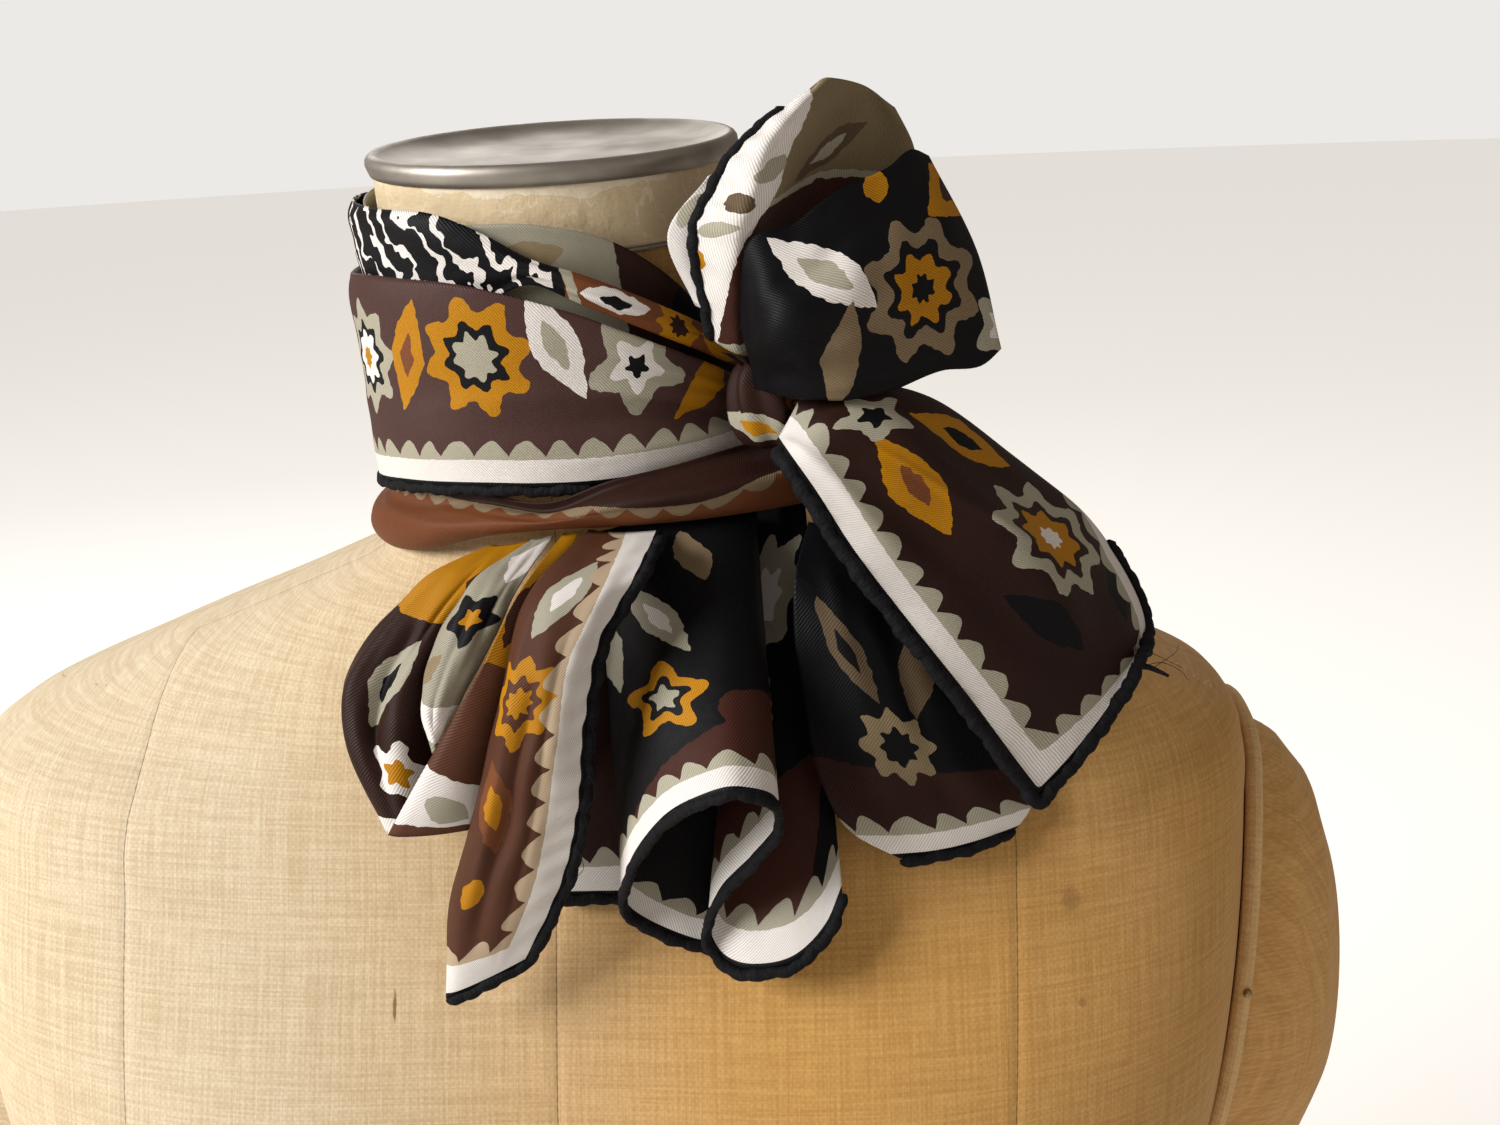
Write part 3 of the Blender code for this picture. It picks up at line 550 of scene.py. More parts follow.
turn = np.linspace(0, 2 * math.pi, PIN_SIDES, endpoint=False)[:, None, None]
wide, tall = np.array(PIN_HEAD).T[:, None, :, None]
pin_round = np.cos(turn) * pin_side + np.sin(turn) * np.cross(pin_side, pin_way)
pin_points = pin_centre + wide * pin_round + (tall + PIN_AT["lift"]) * pin_way
pin_map = np.zeros((PIN_SIDES + 1, len(PIN_HEAD), 2))
pin_head = surface("pin_head", pin_points, {"cloth": pin_map}, closed=True, ends=True)
brass, tree, shader = new_material("worn_brass")
tarnish = noise(tree, solid_place(tree), 900.0, 3.0)
brass_colour = blend(tree, (0.52, 0.36, 0.15), (0.20, 0.14, 0.07), tarnish)
gloss = calc(tree, "MULTIPLY_ADD", tarnish, 0.3, 0.25)
wire(tree, shader, {"Base Color": brass_colour, "Metallic": 1.0, "Roughness": gloss})
dress(pin_head, brass)

# Base board
# The board of stained wood that the form is nailed to and stands on. Its shape is the solid's own, so only
# its finish is made here.
board_wood, tree, shader = new_material("stained_board")
grain = noise(tree, stretched(tree, solid_place(tree), 6.0, 160.0), 1.0, 6.0)
wood_colour = blend(tree, (0.34, 0.19, 0.085), (0.13, 0.065, 0.028), grain)
gloss = calc(tree, "MULTIPLY_ADD", grain, 0.3, 0.4)
wire(tree, shader, {"Base Color": wood_colour, "Roughness": gloss, "Normal": bump(tree, grain, 0.0003)})
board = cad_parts["form_base"]
board.data.materials.clear()
board.data.materials.append(board_wood)

# Neck band
# The top of the neck is bound in a strip of brown paper, glued on and torn under the cap, where the pale
# inside of the paper shows. A thin metal ring closes its foot.
CAP_RADIUS = 52.0
NECK_SIDES = 192


def round_band(name, profile, sides=NECK_SIDES, ends=False):
    """A turned surface about the neck's leaning axis, with a map of millimetres."""
    turn = 2 * math.pi * np.arange(sides) / sides - math.pi
    radius, height = np.array(profile, float).T
    x = np.sin(turn)[:, None] * radius
    y = -np.cos(turn)[:, None] * radius
    points = np.stack([x, y - NECK_LEAN * height, height + NECK_LEAN * y], -1)
    round_it = np.linspace(-0.5, 0.5, sides + 1) * 2 * math.pi * CAP_RADIUS
    cloth = grid(round_it, run_length(np.array(profile)))
    return surface(name, points, {"cloth": cloth, "seam": cloth + 40.0}, closed=True, ends=ends)


band_profile = [(50.2, -22.9)] + [(51.0, z) for z in np.linspace(-22.6, -5.2, 24)] + [(50.0, -4.6)]
paper_band = round_band("paper_band", band_profile)
band_paper, tree, shader = new_material("brown_paper")
cloth = cloth_place(tree)
cloth_xy = split(tree, cloth)
fibres = noise(tree, stretched(tree, cloth, 0.3, 1.6), 1.0, 5.0)
paper_colour = blend(tree, (0.84, 0.73, 0.51), (0.66, 0.51, 0.31), fibres)
browning_and_painted_shade = noise(tree, cloth, 0.045, 3.0)
paper_colour = blend(tree, paper_colour, (0.46, 0.31, 0.15), calc(tree, "MULTIPLY", browning_and_painted_shade, 0.5))
off_middle = calc(tree, "ABSOLUTE", calc(tree, "SUBTRACT", cloth_xy["X"], 12.0))
deeper = calc(tree, "MAXIMUM", calc(tree, "MULTIPLY_ADD", off_middle, -0.09, 3.6), 0.0)
torn_edge = calc(tree, "MULTIPLY_ADD", noise(tree, stretched(tree, cloth, 1.0, 0.2), 0.09, 5.0), 9.0, -3.8)
torn_edge = calc(tree, "ADD", torn_edge, deeper)
torn = calc(tree, "LESS_THAN", calc(tree, "SUBTRACT", 19.0, cloth_xy["Y"]), torn_edge)
paper_colour = blend(tree, paper_colour, (0.80, 0.71, 0.55), calc(tree, "MULTIPLY", torn, 0.8))
crack_noise = noise(tree, stretched(tree, cloth, 1.0, 0.45), 0.085, 3.0)
crack = calc(tree, "LESS_THAN", calc(tree, "ABSOLUTE", calc(tree, "SUBTRACT", crack_noise, 0.5)), 0.0045)
paper_colour = blend(tree, paper_colour, (0.84, 0.75, 0.58), calc(tree, "MULTIPLY", crack, 0.6))
wrinkled = calc(tree, "MULTIPLY_ADD", noise(tree, cloth, 0.16, 4.0), 1.2, calc(tree, "MULTIPLY", torn, -0.5))
wire(tree, shader, {"Base Color": paper_colour, "Roughness": 0.62, "Normal": bump(tree, wrinkled, 0.0006)})
dress(paper_band, band_paper, "neck_band")

RING_PROFILE = [(50.3, -24.2), (51.3, -24.0), (51.6, -23.5), (51.3, -23.0), (50.3, -22.8)]
foot_ring = round_band("neck_ring", RING_PROFILE)

# Neck cap
# A dished disc pressed from thin aluminium, with a rolled rim. It closes the top of the neck, and handling
# has dulled and scratched it.
rim = CAP_RADIUS
cap_profile = [(rim - 2.0, -5.6), (rim - 0.2, -5.0), (rim + 0.3, -3.6), (rim + 0.75, -2.2), (rim + 0.6, -0.9)]
cap_profile += [(rim - 0.1, 0.1), (rim - 1.0, 0.6), (rim - 2.0, 0.5), (rim - 3.0, -0.1), (rim - 4.4, -0.9)]
cap_profile += [(rim - 8.0, -2.2), (rim - 13.0, -2.9), (rim - 22.0, -3.2), (rim - 36.0, -3.3), (1.0, -3.3)]
neck_cap = round_band("pressed_neck_cap", cap_profile, ends=True)
cap_metal, tree, shader = new_material("dull_aluminium")
place = solid_place(tree)
patina = noise(tree, place, 55.0, 6.0)
scratches = noise(tree, stretched(tree, place, 90.0, 900.0), 1.0, 3.0)
metal_colour = blend(tree, (0.52, 0.48, 0.43), (0.20, 0.18, 0.155), patina)
gloss = calc(tree, "MULTIPLY_ADD", patina, 0.25, calc(tree, "MULTIPLY_ADD", scratches, 0.14, 0.34))
pressed = calc(tree, "ADD", noise(tree, place, 28.0), calc(tree, "MULTIPLY", scratches, 0.04))
relief = bump(tree, pressed, 0.0012)
wire(tree, shader, {"Base Color": metal_colour, "Metallic": 1.0, "Roughness": gloss, "Normal": relief})
dress(foot_ring, cap_metal)
dress(neck_cap, cap_metal, "neck_cap")

# Turns round the neck
# The scarf is one square of printed silk twill with a rolled hem. Four turns of it show round the neck:
# an inner one, an upper one that twists into a roll, the wide main one, and a soft roll below it.
SILK_THICK = 0.5
LEAST_WIDTH = 10.5
HEM_RADIUS = 1.6
HEM_STEP = 0.8
STITCH = 4.3
NO_HEM = 400.0
PLUM_BROWN = (0.094, 0.045, 0.040)
# A darker copy of the plum brown, as painted shade, for the big end, the gathers, the knot and other pieces
# that lie in shade
SHADED_BROWN = (0.034, 0.0125, 0.009)
RED_BROWN = (0.058, 0.018, 0.012)
WARM_BROWN = (0.108, 0.040, 0.021)
RUST = (0.20, 0.066, 0.024)
NAVY_BLACK = (0.0035, 0.0033, 0.005)
OCHRE = (0.52, 0.225, 0.005)
SAGE = (0.44, 0.42, 0.33)
OLIVE = (0.29, 0.225, 0.13)
TAN_PRINT = (0.25, 0.185, 0.11)
SOFT_TAN = (0.54, 0.42, 0.29)
PALE_SILK = (0.88, 0.85, 0.83)
SHADED_TAN = (0.13, 0.09, 0.052)
RIB_TINT = (0.62, 0.59, 0.57)

# Each printed shape: its roundness, which is 1 for a lozenge, 2 for an oval and more for a bar, then how
# many petals it has and how deep they are cut
SHAPES = {
    "bar": (9.0, 0, 0.0),
    "leaf": (1.25, 0, 0.0),
    "oval": (2.0, 0, 0.0),
    "flower": (2.0, 8, 0.15),
    "clover": (2.0, 5, 0.24),
}

# The diagonal ribs of the twill, for gloss and colour, and its relief with a soft crumple
TWILL_SOCKETS = {"Cloth": None, "Pitch": 0.85, "Slope": 0.9}
silk_twill, given, result = node_group("silk twill", TWILL_SOCKETS, ("Ribs", "Height"))
tree = silk_twill
cloth_xy = split(tree, given["Cloth"])
slanted = calc(tree, "ADD", cloth_xy["X"], calc(tree, "MULTIPLY", cloth_xy["Y"], given["Slope"]))
slanted = calc(tree, "MULTIPLY_ADD", noise(tree, given["Cloth"], 0.25), 0.5, slanted)
turns = calc(tree, "DIVIDE", calc(tree, "MULTIPLY", slanted, 2 * math.pi), given["Pitch"])
ribs = calc(tree, "MULTIPLY_ADD", calc(tree, "SINE", turns), 0.5, 0.5)
crumple = noise(tree, given["Cloth"], 0.06, 3.0)
wire(tree, result, {"Ribs": ribs, "Height": calc(tree, "MULTIPLY_ADD", crumple, 10.0, ribs)})

# A printed figure. Level runs from 0 in its middle to 1 at its edge.
FIGURE_SOCKETS = {
    "Cloth": None,
    "Centre": (0.0, 0.0, 0.0),
    "Reach": (10.0, 10.0, 1.0),
    "Turn": 0.0,
    "Roundness": 2.0,
    "Petals": 0.0,
    "Petal depth": 0.0,
    "Wobble": 2.0,
}
printed_figure, given, result = node_group("printed figure", FIGURE_SOCKETS, ("Level",))
tree = printed_figure
cloudy = vector_calc(tree, "SUBTRACT", noise(tree, given["Cloth"], 0.3, 1.0, "Color"), (0.5, 0.5, 0.5))
pulled = vector_calc(tree, "MULTIPLY", cloudy, given["Wobble"])
moved = vector_calc(tree, "ADD", vector_calc(tree, "SUBTRACT", given["Cloth"], given["Centre"]), pulled)
spun = {"Vector": moved, "Angle": given["Turn"]}
spun_xy = split(tree, put(tree, "ShaderNodeVectorRotate", spun, rotation_type="Z_AXIS").outputs[0])
reach_xy = split(tree, given["Reach"])
shares = [calc(tree, "DIVIDE", spun_xy[axis], reach_xy[axis]) for axis in "XY"]
powers = [calc(tree, "POWER", calc(tree, "ABSOLUTE", share), given["Roundness"]) for share in shares]
level = calc(tree, "POWER", calc(tree, "ADD", *powers), calc(tree, "DIVIDE", 1.0, given["Roundness"]))
bearing = calc(tree, "MULTIPLY", calc(tree, "ARCTAN2", shares[1], shares[0]), given["Petals"])
petals = calc(tree, "MULTIPLY", calc(tree, "COSINE", bearing), given["Petal depth"])
wire(tree, result, {"Level": calc(tree, "MULTIPLY", level, calc(tree, "SUBTRACT", 1.0, petals))})

# The printed border beside every hem: a black margin, a straight pale band and a row of scallops
BORDER_SOCKETS = {"Hem": None, "Depth": 5.2, "Period": 9.5, "Swing": 3.8, "Band": 3.4}
BORDER_PARTS = ("Scallops", "Pale band", "Margin")
printed_border, given, result = node_group("printed border", BORDER_SOCKETS, BORDER_PARTS)
tree = printed_border
hem_xy = split(tree, given["Hem"])
drift = calc(tree, "MULTIPLY", noise(tree, given["Hem"], 0.05), 9.0)
along = calc(tree, "ADD", hem_xy["X"], drift)
turning = calc(tree, "DIVIDE", calc(tree, "MULTIPLY", along, math.pi), given["Period"])
arch = calc(tree, "ABSOLUTE", calc(tree, "SINE", turning))
fine = calc(tree, "MULTIPLY", noise(tree, given["Hem"], 0.4), 0.8)
pale_edge = calc(tree, "ADD", calc(tree, "MULTIPLY_ADD", given["Swing"], 0.5, given["Depth"]), fine)
scallop = calc(tree, "MULTIPLY", calc(tree, "MULTIPLY_ADD", arch, 1.3, 0.25), given["Band"])
MARGIN_WIDE = 1.5
edges = {"Margin": MARGIN_WIDE, "Pale band": pale_edge, "Scallops": calc(tree, "ADD", pale_edge, scallop)}
wire(tree, result, {part: calc(tree, "LESS_THAN", hem_xy["Y"], edge) for part, edge in edges.items()})

# Wavy pale strokes that swell and thin out, up to a place along the cloth
STROKE_SOCKETS = {"Cloth": None, "Pitch": 9.0, "Until": 100.0}
wavy_strokes, given, result = node_group("wavy strokes", STROKE_SOCKETS, ("Strokes",))
tree = wavy_strokes
cloth_xy = split(tree, given["Cloth"])
bent = calc(tree, "MULTIPLY_ADD", noise(tree, given["Cloth"], 0.10), 26.0, cloth_xy["X"])
bent = calc(tree, "MULTIPLY_ADD", cloth_xy["Y"], 0.7, bent)
near = calc(tree, "PINGPONG", bent, calc(tree, "MULTIPLY", given["Pitch"], 0.5))
wide = calc(tree, "MULTIPLY_ADD", noise(tree, given["Cloth"], 0.14), 7.0, -2.3)
here = calc(tree, "LESS_THAN", cloth_xy["X"], given["Until"])
wire(tree, result, {"Strokes": calc(tree, "MULTIPLY", calc(tree, "LESS_THAN", near, wide), here)})


def printed_silk(name, ground, figures=(), border=None, strokes=None, slope=0.9, depth=5.6, swing=3.8):
    """Silk twill printed with figures.

    A figure has its shape, the place of its middle and its reach in the cloth's millimetres, its turn in
    degrees, its colour, and then each inner colour after the level where it starts.
    The border has the colours of its scallops, its band and its margin."""
    made, tree, shader = new_material(name)
    cloth = cloth_place(tree)
    colour = blend(tree, ground, tuple(0.72 * part for part in ground), noise(tree, cloth, 0.035))
    if strokes:
        stroked = use(tree, wavy_strokes, {"Cloth": cloth, "Until": strokes})
        colour = blend(tree, colour, PALE_SILK, stroked["Strokes"])
    for shape, x, y, reach_x, reach_y, turned, *paints in figures:
        own = {"Cloth": cloth, "Centre": (x, y, 0.0), "Reach": (reach_x, reach_y, 1.0)}
        own.update(zip(("Roundness", "Petals", "Petal depth"), SHAPES[shape]))
        level = use(tree, printed_figure, {**own, "Turn": -math.radians(turned)})["Level"]
        for limit, paint in zip((1.0, *paints[1::2]), paints[::2]):
            colour = blend(tree, colour, paint, calc(tree, "LESS_THAN", level, limit))
    if border:
        sizes = {"Hem": cloth_place(tree, "hem"), "Depth": depth, "Swing": swing, "Band": 0.9 * swing}
        edging = use(tree, printed_border, sizes)
        for part, paint in zip(BORDER_PARTS, border):
            colour = blend(tree, colour, paint, edging[part])
    twill = use(tree, silk_twill, {"Cloth": cloth, "Slope": slope})
    colour = blend(tree, colour, RIB_TINT, calc(tree, "MULTIPLY", twill["Ribs"], 0.8), "MULTIPLY")
    gloss = calc(tree, "MULTIPLY_ADD", twill["Ribs"], 0.12, 0.46)
    relief = bump(tree, twill["Height"], 0.00007, 0.9)
    wire(tree, shader, {"Base Color": colour, "Roughness": gloss, "Normal": relief})
    wire(tree, shader, {"Specular IOR Level": 0.14})
    return made


FOLDS = "first last wide proud start end"


def facing(points, closed=False):
    """Unit normals of a sheet that look to the front, or outwards round the neck."""
    along = np.roll(points, -1, 0) - np.roll(points, 1, 0) if closed else np.gradient(points, axis=0)
    found = np.cross(along, np.gradient(points, axis=1))
    found /= np.maximum(np.linalg.norm(found, axis=-1, keepdims=True), 1e-9)
    if closed:
        return found * np.sign((found * points * (1.0, 1.0, 0.0)).sum(-1, keepdims=True).mean())
    return found * np.where(found[..., 1:2] > 0, -1.0, 1.0)


def creased(points, folds, closed=False):
    """The sheet with soft ridges, or troughs where `proud` is negative, and slightly uneven.

    Each runs from share `first` of the width to share `last`, and from share `start` of the length to
    share `end`."""
    down, across = points.shape[:2]
    t, u = np.linspace(0, 1, down)[:, None], np.linspace(0, 1, across)[None]
    push = facing(points, closed)
    rise = np.zeros((down, across))
    for first, last, wide, proud, start, end in zip(*folds.values()):
        along = np.clip((t - start) / (end - start), 0, 1)
        line = first + (last - first) * along
        rise += proud * np.sin(math.pi * along) * np.exp(-(((u - line) / wide) ** 2))
    fade = np.sin(math.pi * t) ** 0.5
    rise += 0.16 * fade * (np.sin(31 * t + 9 * u) + np.sin(17 * u - 23 * t + 1.0))
    return points + push * rise[..., None]


def square_to(vectors, ahead):
    """The directions turned square to `ahead`."""
    return unit(vectors - ahead * (vectors * ahead).sum(1, keepdims=True))


def rolled_hem(name, edge, inside_row, node, thick=HEM_RADIUS):
    """The edge of the silk, rolled and sewn by hand in black. The stitches pinch it every few millimetres."""
    legs = unit(np.diff(edge, axis=0))
    ahead = unit(np.concatenate([legs[:1], legs]) + np.concatenate([legs, legs[-1:]]))
    out = square_to(edge - inside_row, ahead)
    path = edge + out * (0.6 * thick)
    run = run_length(path)
    at = np.linspace(0, run[-1], max(12, int(run[-1] / HEM_STEP)))
    path, out = (np.stack([np.interp(at, run, column) for column in part.T], -1) for part in (path, out))
    ahead = unit(np.gradient(path, axis=0))
    out = square_to(out, ahead)
    path = path + out * (0.22 * np.sin(at / 2.3) + 0.16 * np.sin(at / 0.97 + 1.0))[:, None]
    turn = np.linspace(0, 2 * math.pi, 13)
    pinch = 1.0 - 0.16 * np.exp(-((((at + 1.1 * np.sin(at / 5.0)) % STITCH) - 2.0) / 0.6) ** 2)
    pinch += 0.07 * np.sin(at / 3.1) + 0.06 * np.sin(at / 1.3)
    ends = np.clip(np.minimum(at, run[-1] - at) / 1.2, 0.35, 1.0)
    radius = (thick * pinch * ends)[:, None, None]
    rings = rings_round(path, out, 0.85 * np.cross(ahead, out), radius, turn)
    around = grid(at, turn * thick)
    made = surface(name, rings, {"cloth": around, "hem": around + NO_HEM})
    dress(made, hem_silk, node)
    return made


def cloth_map(points, closed):
    """Millimetres on the cloth: across from its middle and down from its head, or round the neck and up."""
    if closed:
        points = np.concatenate([points, points[:1]])
    down = np.linalg.norm(np.diff(points, axis=0), axis=-1).mean(axis=1)
    down = np.repeat(np.concatenate([[0.0], np.cumsum(down)])[:, None], points.shape[1], axis=1)
    across = np.linalg.norm(np.diff(points, axis=1), axis=-1)
    across = np.concatenate([np.zeros((len(points), 1)), np.cumsum(across, axis=1)], axis=1)
    if closed:
        return np.stack([down, across], -1)
    return np.stack([across - across[:, -1:] / 2, down], -1)


def silk(name, points, printed, node, hem_map=None, hem=None, closed=False):
    """One stretch of the scarf as a thin shell with its hem."""
    cloth = cloth_map(points, closed)
    hem_at = hem_map(cloth) if hem_map else cloth + NO_HEM
    made = surface(name, points, {"cloth": cloth, "hem": hem_at}, closed=closed)
    thick = made.modifiers.new("silk", "SOLIDIFY")
    thick.thickness = SILK_THICK * MM
    thick.offset = 0.0
    dress(made, printed, node)
    hems = [rolled_hem("hem_of_" + name, *hem)] if hem else []
    width, length = np.ptp(cloth[..., 0], axis=1).max(), cloth[..., 1].max()
    if closed:
        width, length = cloth[..., 0].max(), cloth[..., 1].max()
    width = max(width, LEAST_WIDTH)
    return made


hem_silk, tree, shader = new_material("rolled_hem_silk")
stitches = noise(tree, stretched(tree, cloth_place(tree), 0.9, 0.5), 1.0, 3.0)
hem_colour = blend(tree, (0.0025, 0.0025, 0.0035), (0.013, 0.0125, 0.015), stitches)
wire(tree, shader, {"Base Color": hem_colour, "Roughness": 0.75, "Specular IOR Level": 0.12})
wire(tree, shader, {"Normal": bump(tree, stitches, 0.0006)})

INNER = table(
    "bearing out top foot",
    (-180, 55.0, -10, -44),
    (-110, 55.0, -9, -44),
    (-60, 54.6, -15, -44),
    (-20, 54.6, -18, -46),
    (6, 55.0, -19, -48),
    (26, 55.6, -25, -52),
    (42, 57.0, -37, -58),
    (53, 58.0, -49, -64),
    (80, 57.0, -40, -60),
    (125, 55.6, -18, -48),
    (180, 55.0, -10, -44),
)
UPPER = table(
    "bearing out top foot roll",
    (-180, 57.6, -14, -44, 0.0),
    (-110, 57.8, -12, -42, 0.0),
    (-80, 58.0, -12, -40, 0.3),
    (-45, 58.0, -14, -39, 0.5),
    (-20, 57.8, -16, -39, 0.6),
    (-8, 58.0, -21, -36, 0.8),
    (2, 59.4, -26.5, -33.0, 1.6),
    (14, 61.6, -31, -38.6, 2.6),
    (27, 63.6, -37.5, -45.6, 2.8),
    (41, 64.4, -45.5, -53.2, 2.4),
    (54, 64.4, -53.5, -60.0, 1.6),
    (75, 62.0, -49, -60.0, 0.8),
    (105, 58.6, -36, -52, 0.3),
    (140, 57.6, -20, -46, 0.0),
    (180, 57.6, -14, -44, 0.0),
)
MAIN = table(
    "bearing out top foot",
    (-180, 61.4, -30, -86),
    (-120, 61.6, -31, -92),
    (-80, 61.4, -32, -94),
    (-40, 61.2, -31, -89),
    (-14, 61.4, -32.5, -87),
    (0, 61.8, -36, -87),
    (12, 62.4, -40.5, -87),
    (26, 64.6, -47.8, -86),
    (41, 66.6, -56, -85),
    (54, 67.4, -63, -84),
    (75, 66.0, -62, -86),
    (110, 63.0, -42, -88),
    (180, 61.4, -30, -86),
)
LOWER = table(
    "bearing behind tuck top out middle foot",
    (-180, 4.0, 59.6, -91.6, 66.4, -97, -102),
    (-120, 7.0, 59.6, -98, 67.0, -106, -112),
    (-80, 7.0, 59.6, -99, 67.0, -107, -113),
    (-40, 7.0, 59.6, -95, 66.6, -102, -108),
    (-15, 2.0, 59.8, -92, 67.0, -96, -100.5),
    (2, 2.6, 64.2, -93.0, 70.6, -94.4, -97.2),
    (16, 1.6, 68.2, -86.4, 75.5, -91.0, -96.2),
    (30, 0.4, 70.0, -82.8, 81.0, -88.4, -95.6),
    (44, 0.4, 71.0, -81.0, 87.0, -87.0, -95.4),
    (54, 0.4, 71.0, -81.0, 90.0, -87.6, -96.0),
    (66, 0.4, 70.0, -82.0, 86.0, -89.6, -97.0),
    (90, 0.4, 66.4, -90, 73.0, -95, -100),
    (130, 4.0, 60.4, -92.6, 66.8, -97.4, -102),
    (180, 4.0, 59.6, -91.6, 66.4, -97, -102),
)
BEARINGS = np.linspace(-180, 180, 260, endpoint=False)
MAIN_HEM = {"from": -178, "to": 13}
ROPE_PRINT = {"from": 190, "over": 60, "high": 4.0, "falls": 13.0}


def turn_of_cloth(rows, section, steps):
    """A closed turn round the leaning neck.

    `section` gives (radius, height) pairs for a bearing and the table's other columns there."""
    names = list(rows)[1:]
    points = []
    for bearing in BEARINGS:
        turn = math.radians(bearing)
        columns = (float(smooth(rows, "bearing", name, bearing)) for name in names)
        corners = np.array(section(bearing, *columns), float)
        run = run_length(corners)
        line = {"run": run, "out": corners[:, 0], "height": corners[:, 1]}
        at = np.linspace(0, run[-1], steps)
        out, height = smooth(line, "run", "out", at), smooth(line, "run", "height", at)
        y = -out * math.cos(turn) - NECK_LEAN * height
        points.append(np.stack([out * math.sin(turn), y, height], -1))
    return np.array(points)


def inner_section(bearing, out, top, foot):
    """A plain band."""
    return [(out - 0.4, foot), (out, 0.5 * (top + foot)), (out, top)]


def upper_section(bearing, out, top, foot, roll):
    """A band that swells into a roll towards the knot."""
    middle = 0.5 * (top + foot)
    return [(out - 0.3, foot), (out + roll, middle), (out + 0.6 * roll, top - 1.5), (out - 0.8, top)]


def main_section(bearing, out, top, foot):
    """A wide band with a trough where it is pulled to the knot, folded over at its top."""
    tall = top - foot
    trough = 1.1 * math.exp(-(((bearing - 40) / 26) ** 2))
    section = [(out + 0.6, foot), (out + 0.9, foot + 0.25 * tall), (out - trough, foot + 0.46 * tall)]
    section += [(out + 0.6, foot + 0.68 * tall), (out, top - 2.2), (out - 0.7, top - 0.4)]
    return section + [(out - 1.6, top - 1.2), (out - 1.6, top - 6.0)]


def lower_section(bearing, behind, tuck, top, out, middle, foot):
    """A roll that comes from behind the main turn and is tucked under at its foot."""
    shoulder = (0.4 * tuck + 0.6 * out, 0.6 * top + 0.4 * middle)
    section = [(tuck, top + behind), (tuck, top), shoulder, (out, middle)]
    return section + [(out - 1.4, foot + 1.6), (out - 3.4, foot), (out - 5.2, foot + 2.4)]


def hem_at_foot(cloth):
    """The main turn's hem runs along the foot, where its map starts."""
    return cloth


def rope_line(cloth):
    """A line of print that starts at the lower turn's top and comes to its foot towards the knot."""
    share = np.clip((cloth[..., 0] - ROPE_PRINT["from"]) / ROPE_PRINT["over"], 0, 1)
    fall = ROPE_PRINT["falls"] * share * share * (3 - 2 * share)
    return np.stack([cloth[..., 0], cloth[..., 1] + ROPE_PRINT["high"] - fall], -1)


INNER_FIGURES = (
    ("bar", 300, 12, 102, 44, 6, SHADED_BROWN),
    ("bar", 322, 10, 106, 40, 14, NAVY_BLACK),
    ("leaf", 172, 20, 11, 5, 20, OLIVE),
    ("flower", 40, 22, 13, 12, 0, SHADED_BROWN, 0.6, OCHRE),
    ("leaf", 84, 20, 15, 7, -12, OLIVE, 0.5, PALE_SILK),
    ("flower", 124, 18, 10, 10, 10, PALE_SILK, 0.5, OCHRE),
)
UPPER_FIGURES = (
    ("bar", 290, 8, 95, 40, 0, RUST),
    ("bar", 196, 9, 1.6, 30, 12, SAGE),
    ("leaf", 209, 6, 10, 4, 8, PALE_SILK, 0.45, NAVY_BLACK),
    ("flower", 227, 5, 6, 6, 0, OCHRE, 0.45, SHADED_BROWN),
    ("leaf", 243, 4, 9, 4, -8, OCHRE),
    ("bar", 330, 10, 46, 40, 0, NAVY_BLACK),
)
MAIN_FIGURES = (
    ("leaf", 110, 36, 6.5, 16, 16, OCHRE, 0.4, NAVY_BLACK),
    ("flower", 134, 37, 14.5, 14, 0, SAGE, 0.66, NAVY_BLACK, 0.48, PALE_SILK, 0.2, OCHRE),
    ("leaf", 157, 37, 6.5, 16, -20, OCHRE, 0.4, RUST),
    ("flower", 180, 36, 14, 14, 12, OCHRE, 0.62, NAVY_BLACK, 0.42, SAGE),
    ("leaf", 202, 39, 6.5, 16, 24, PALE_SILK, 0.45, SAGE),
    ("clover", 223, 32, 10.5, 11, -20, SAGE, 0.55, PALE_SILK, 0.25, NAVY_BLACK),
    ("leaf", 243, 25, 5, 14, -44, OCHRE),
    ("flower", 20, 36, 17, 16, 0, SAGE, 0.62, NAVY_BLACK, 0.42, OCHRE),
    ("leaf", 44, 36, 8, 17, -18, OCHRE, 0.4, NAVY_BLACK),
    ("clover", 66, 34, 14, 14, 8, PALE_SILK, 0.6, SAGE, 0.3, OCHRE),
    ("leaf", 89, 37, 8, 16, -16, SAGE, 0.45, PALE_SILK),
    ("flower", 272, 34, 15, 15, 0, OCHRE, 0.6, NAVY_BLACK, 0.35, PALE_SILK),
    ("leaf", 295, 36, 8, 17, 18, SAGE, 0.45, NAVY_BLACK),
    ("clover", 317, 34, 14, 14, 20, PALE_SILK, 0.6, SAGE, 0.3, OCHRE),
    ("leaf", 340, 37, 8, 17, -14, OCHRE, 0.4, RUST),
    ("flower", 364, 35, 15, 15, 6, SAGE, 0.62, NAVY_BLACK, 0.42, PALE_SILK),
    ("leaf", 388, 36, 8, 16, 16, OCHRE, 0.4, NAVY_BLACK),
)
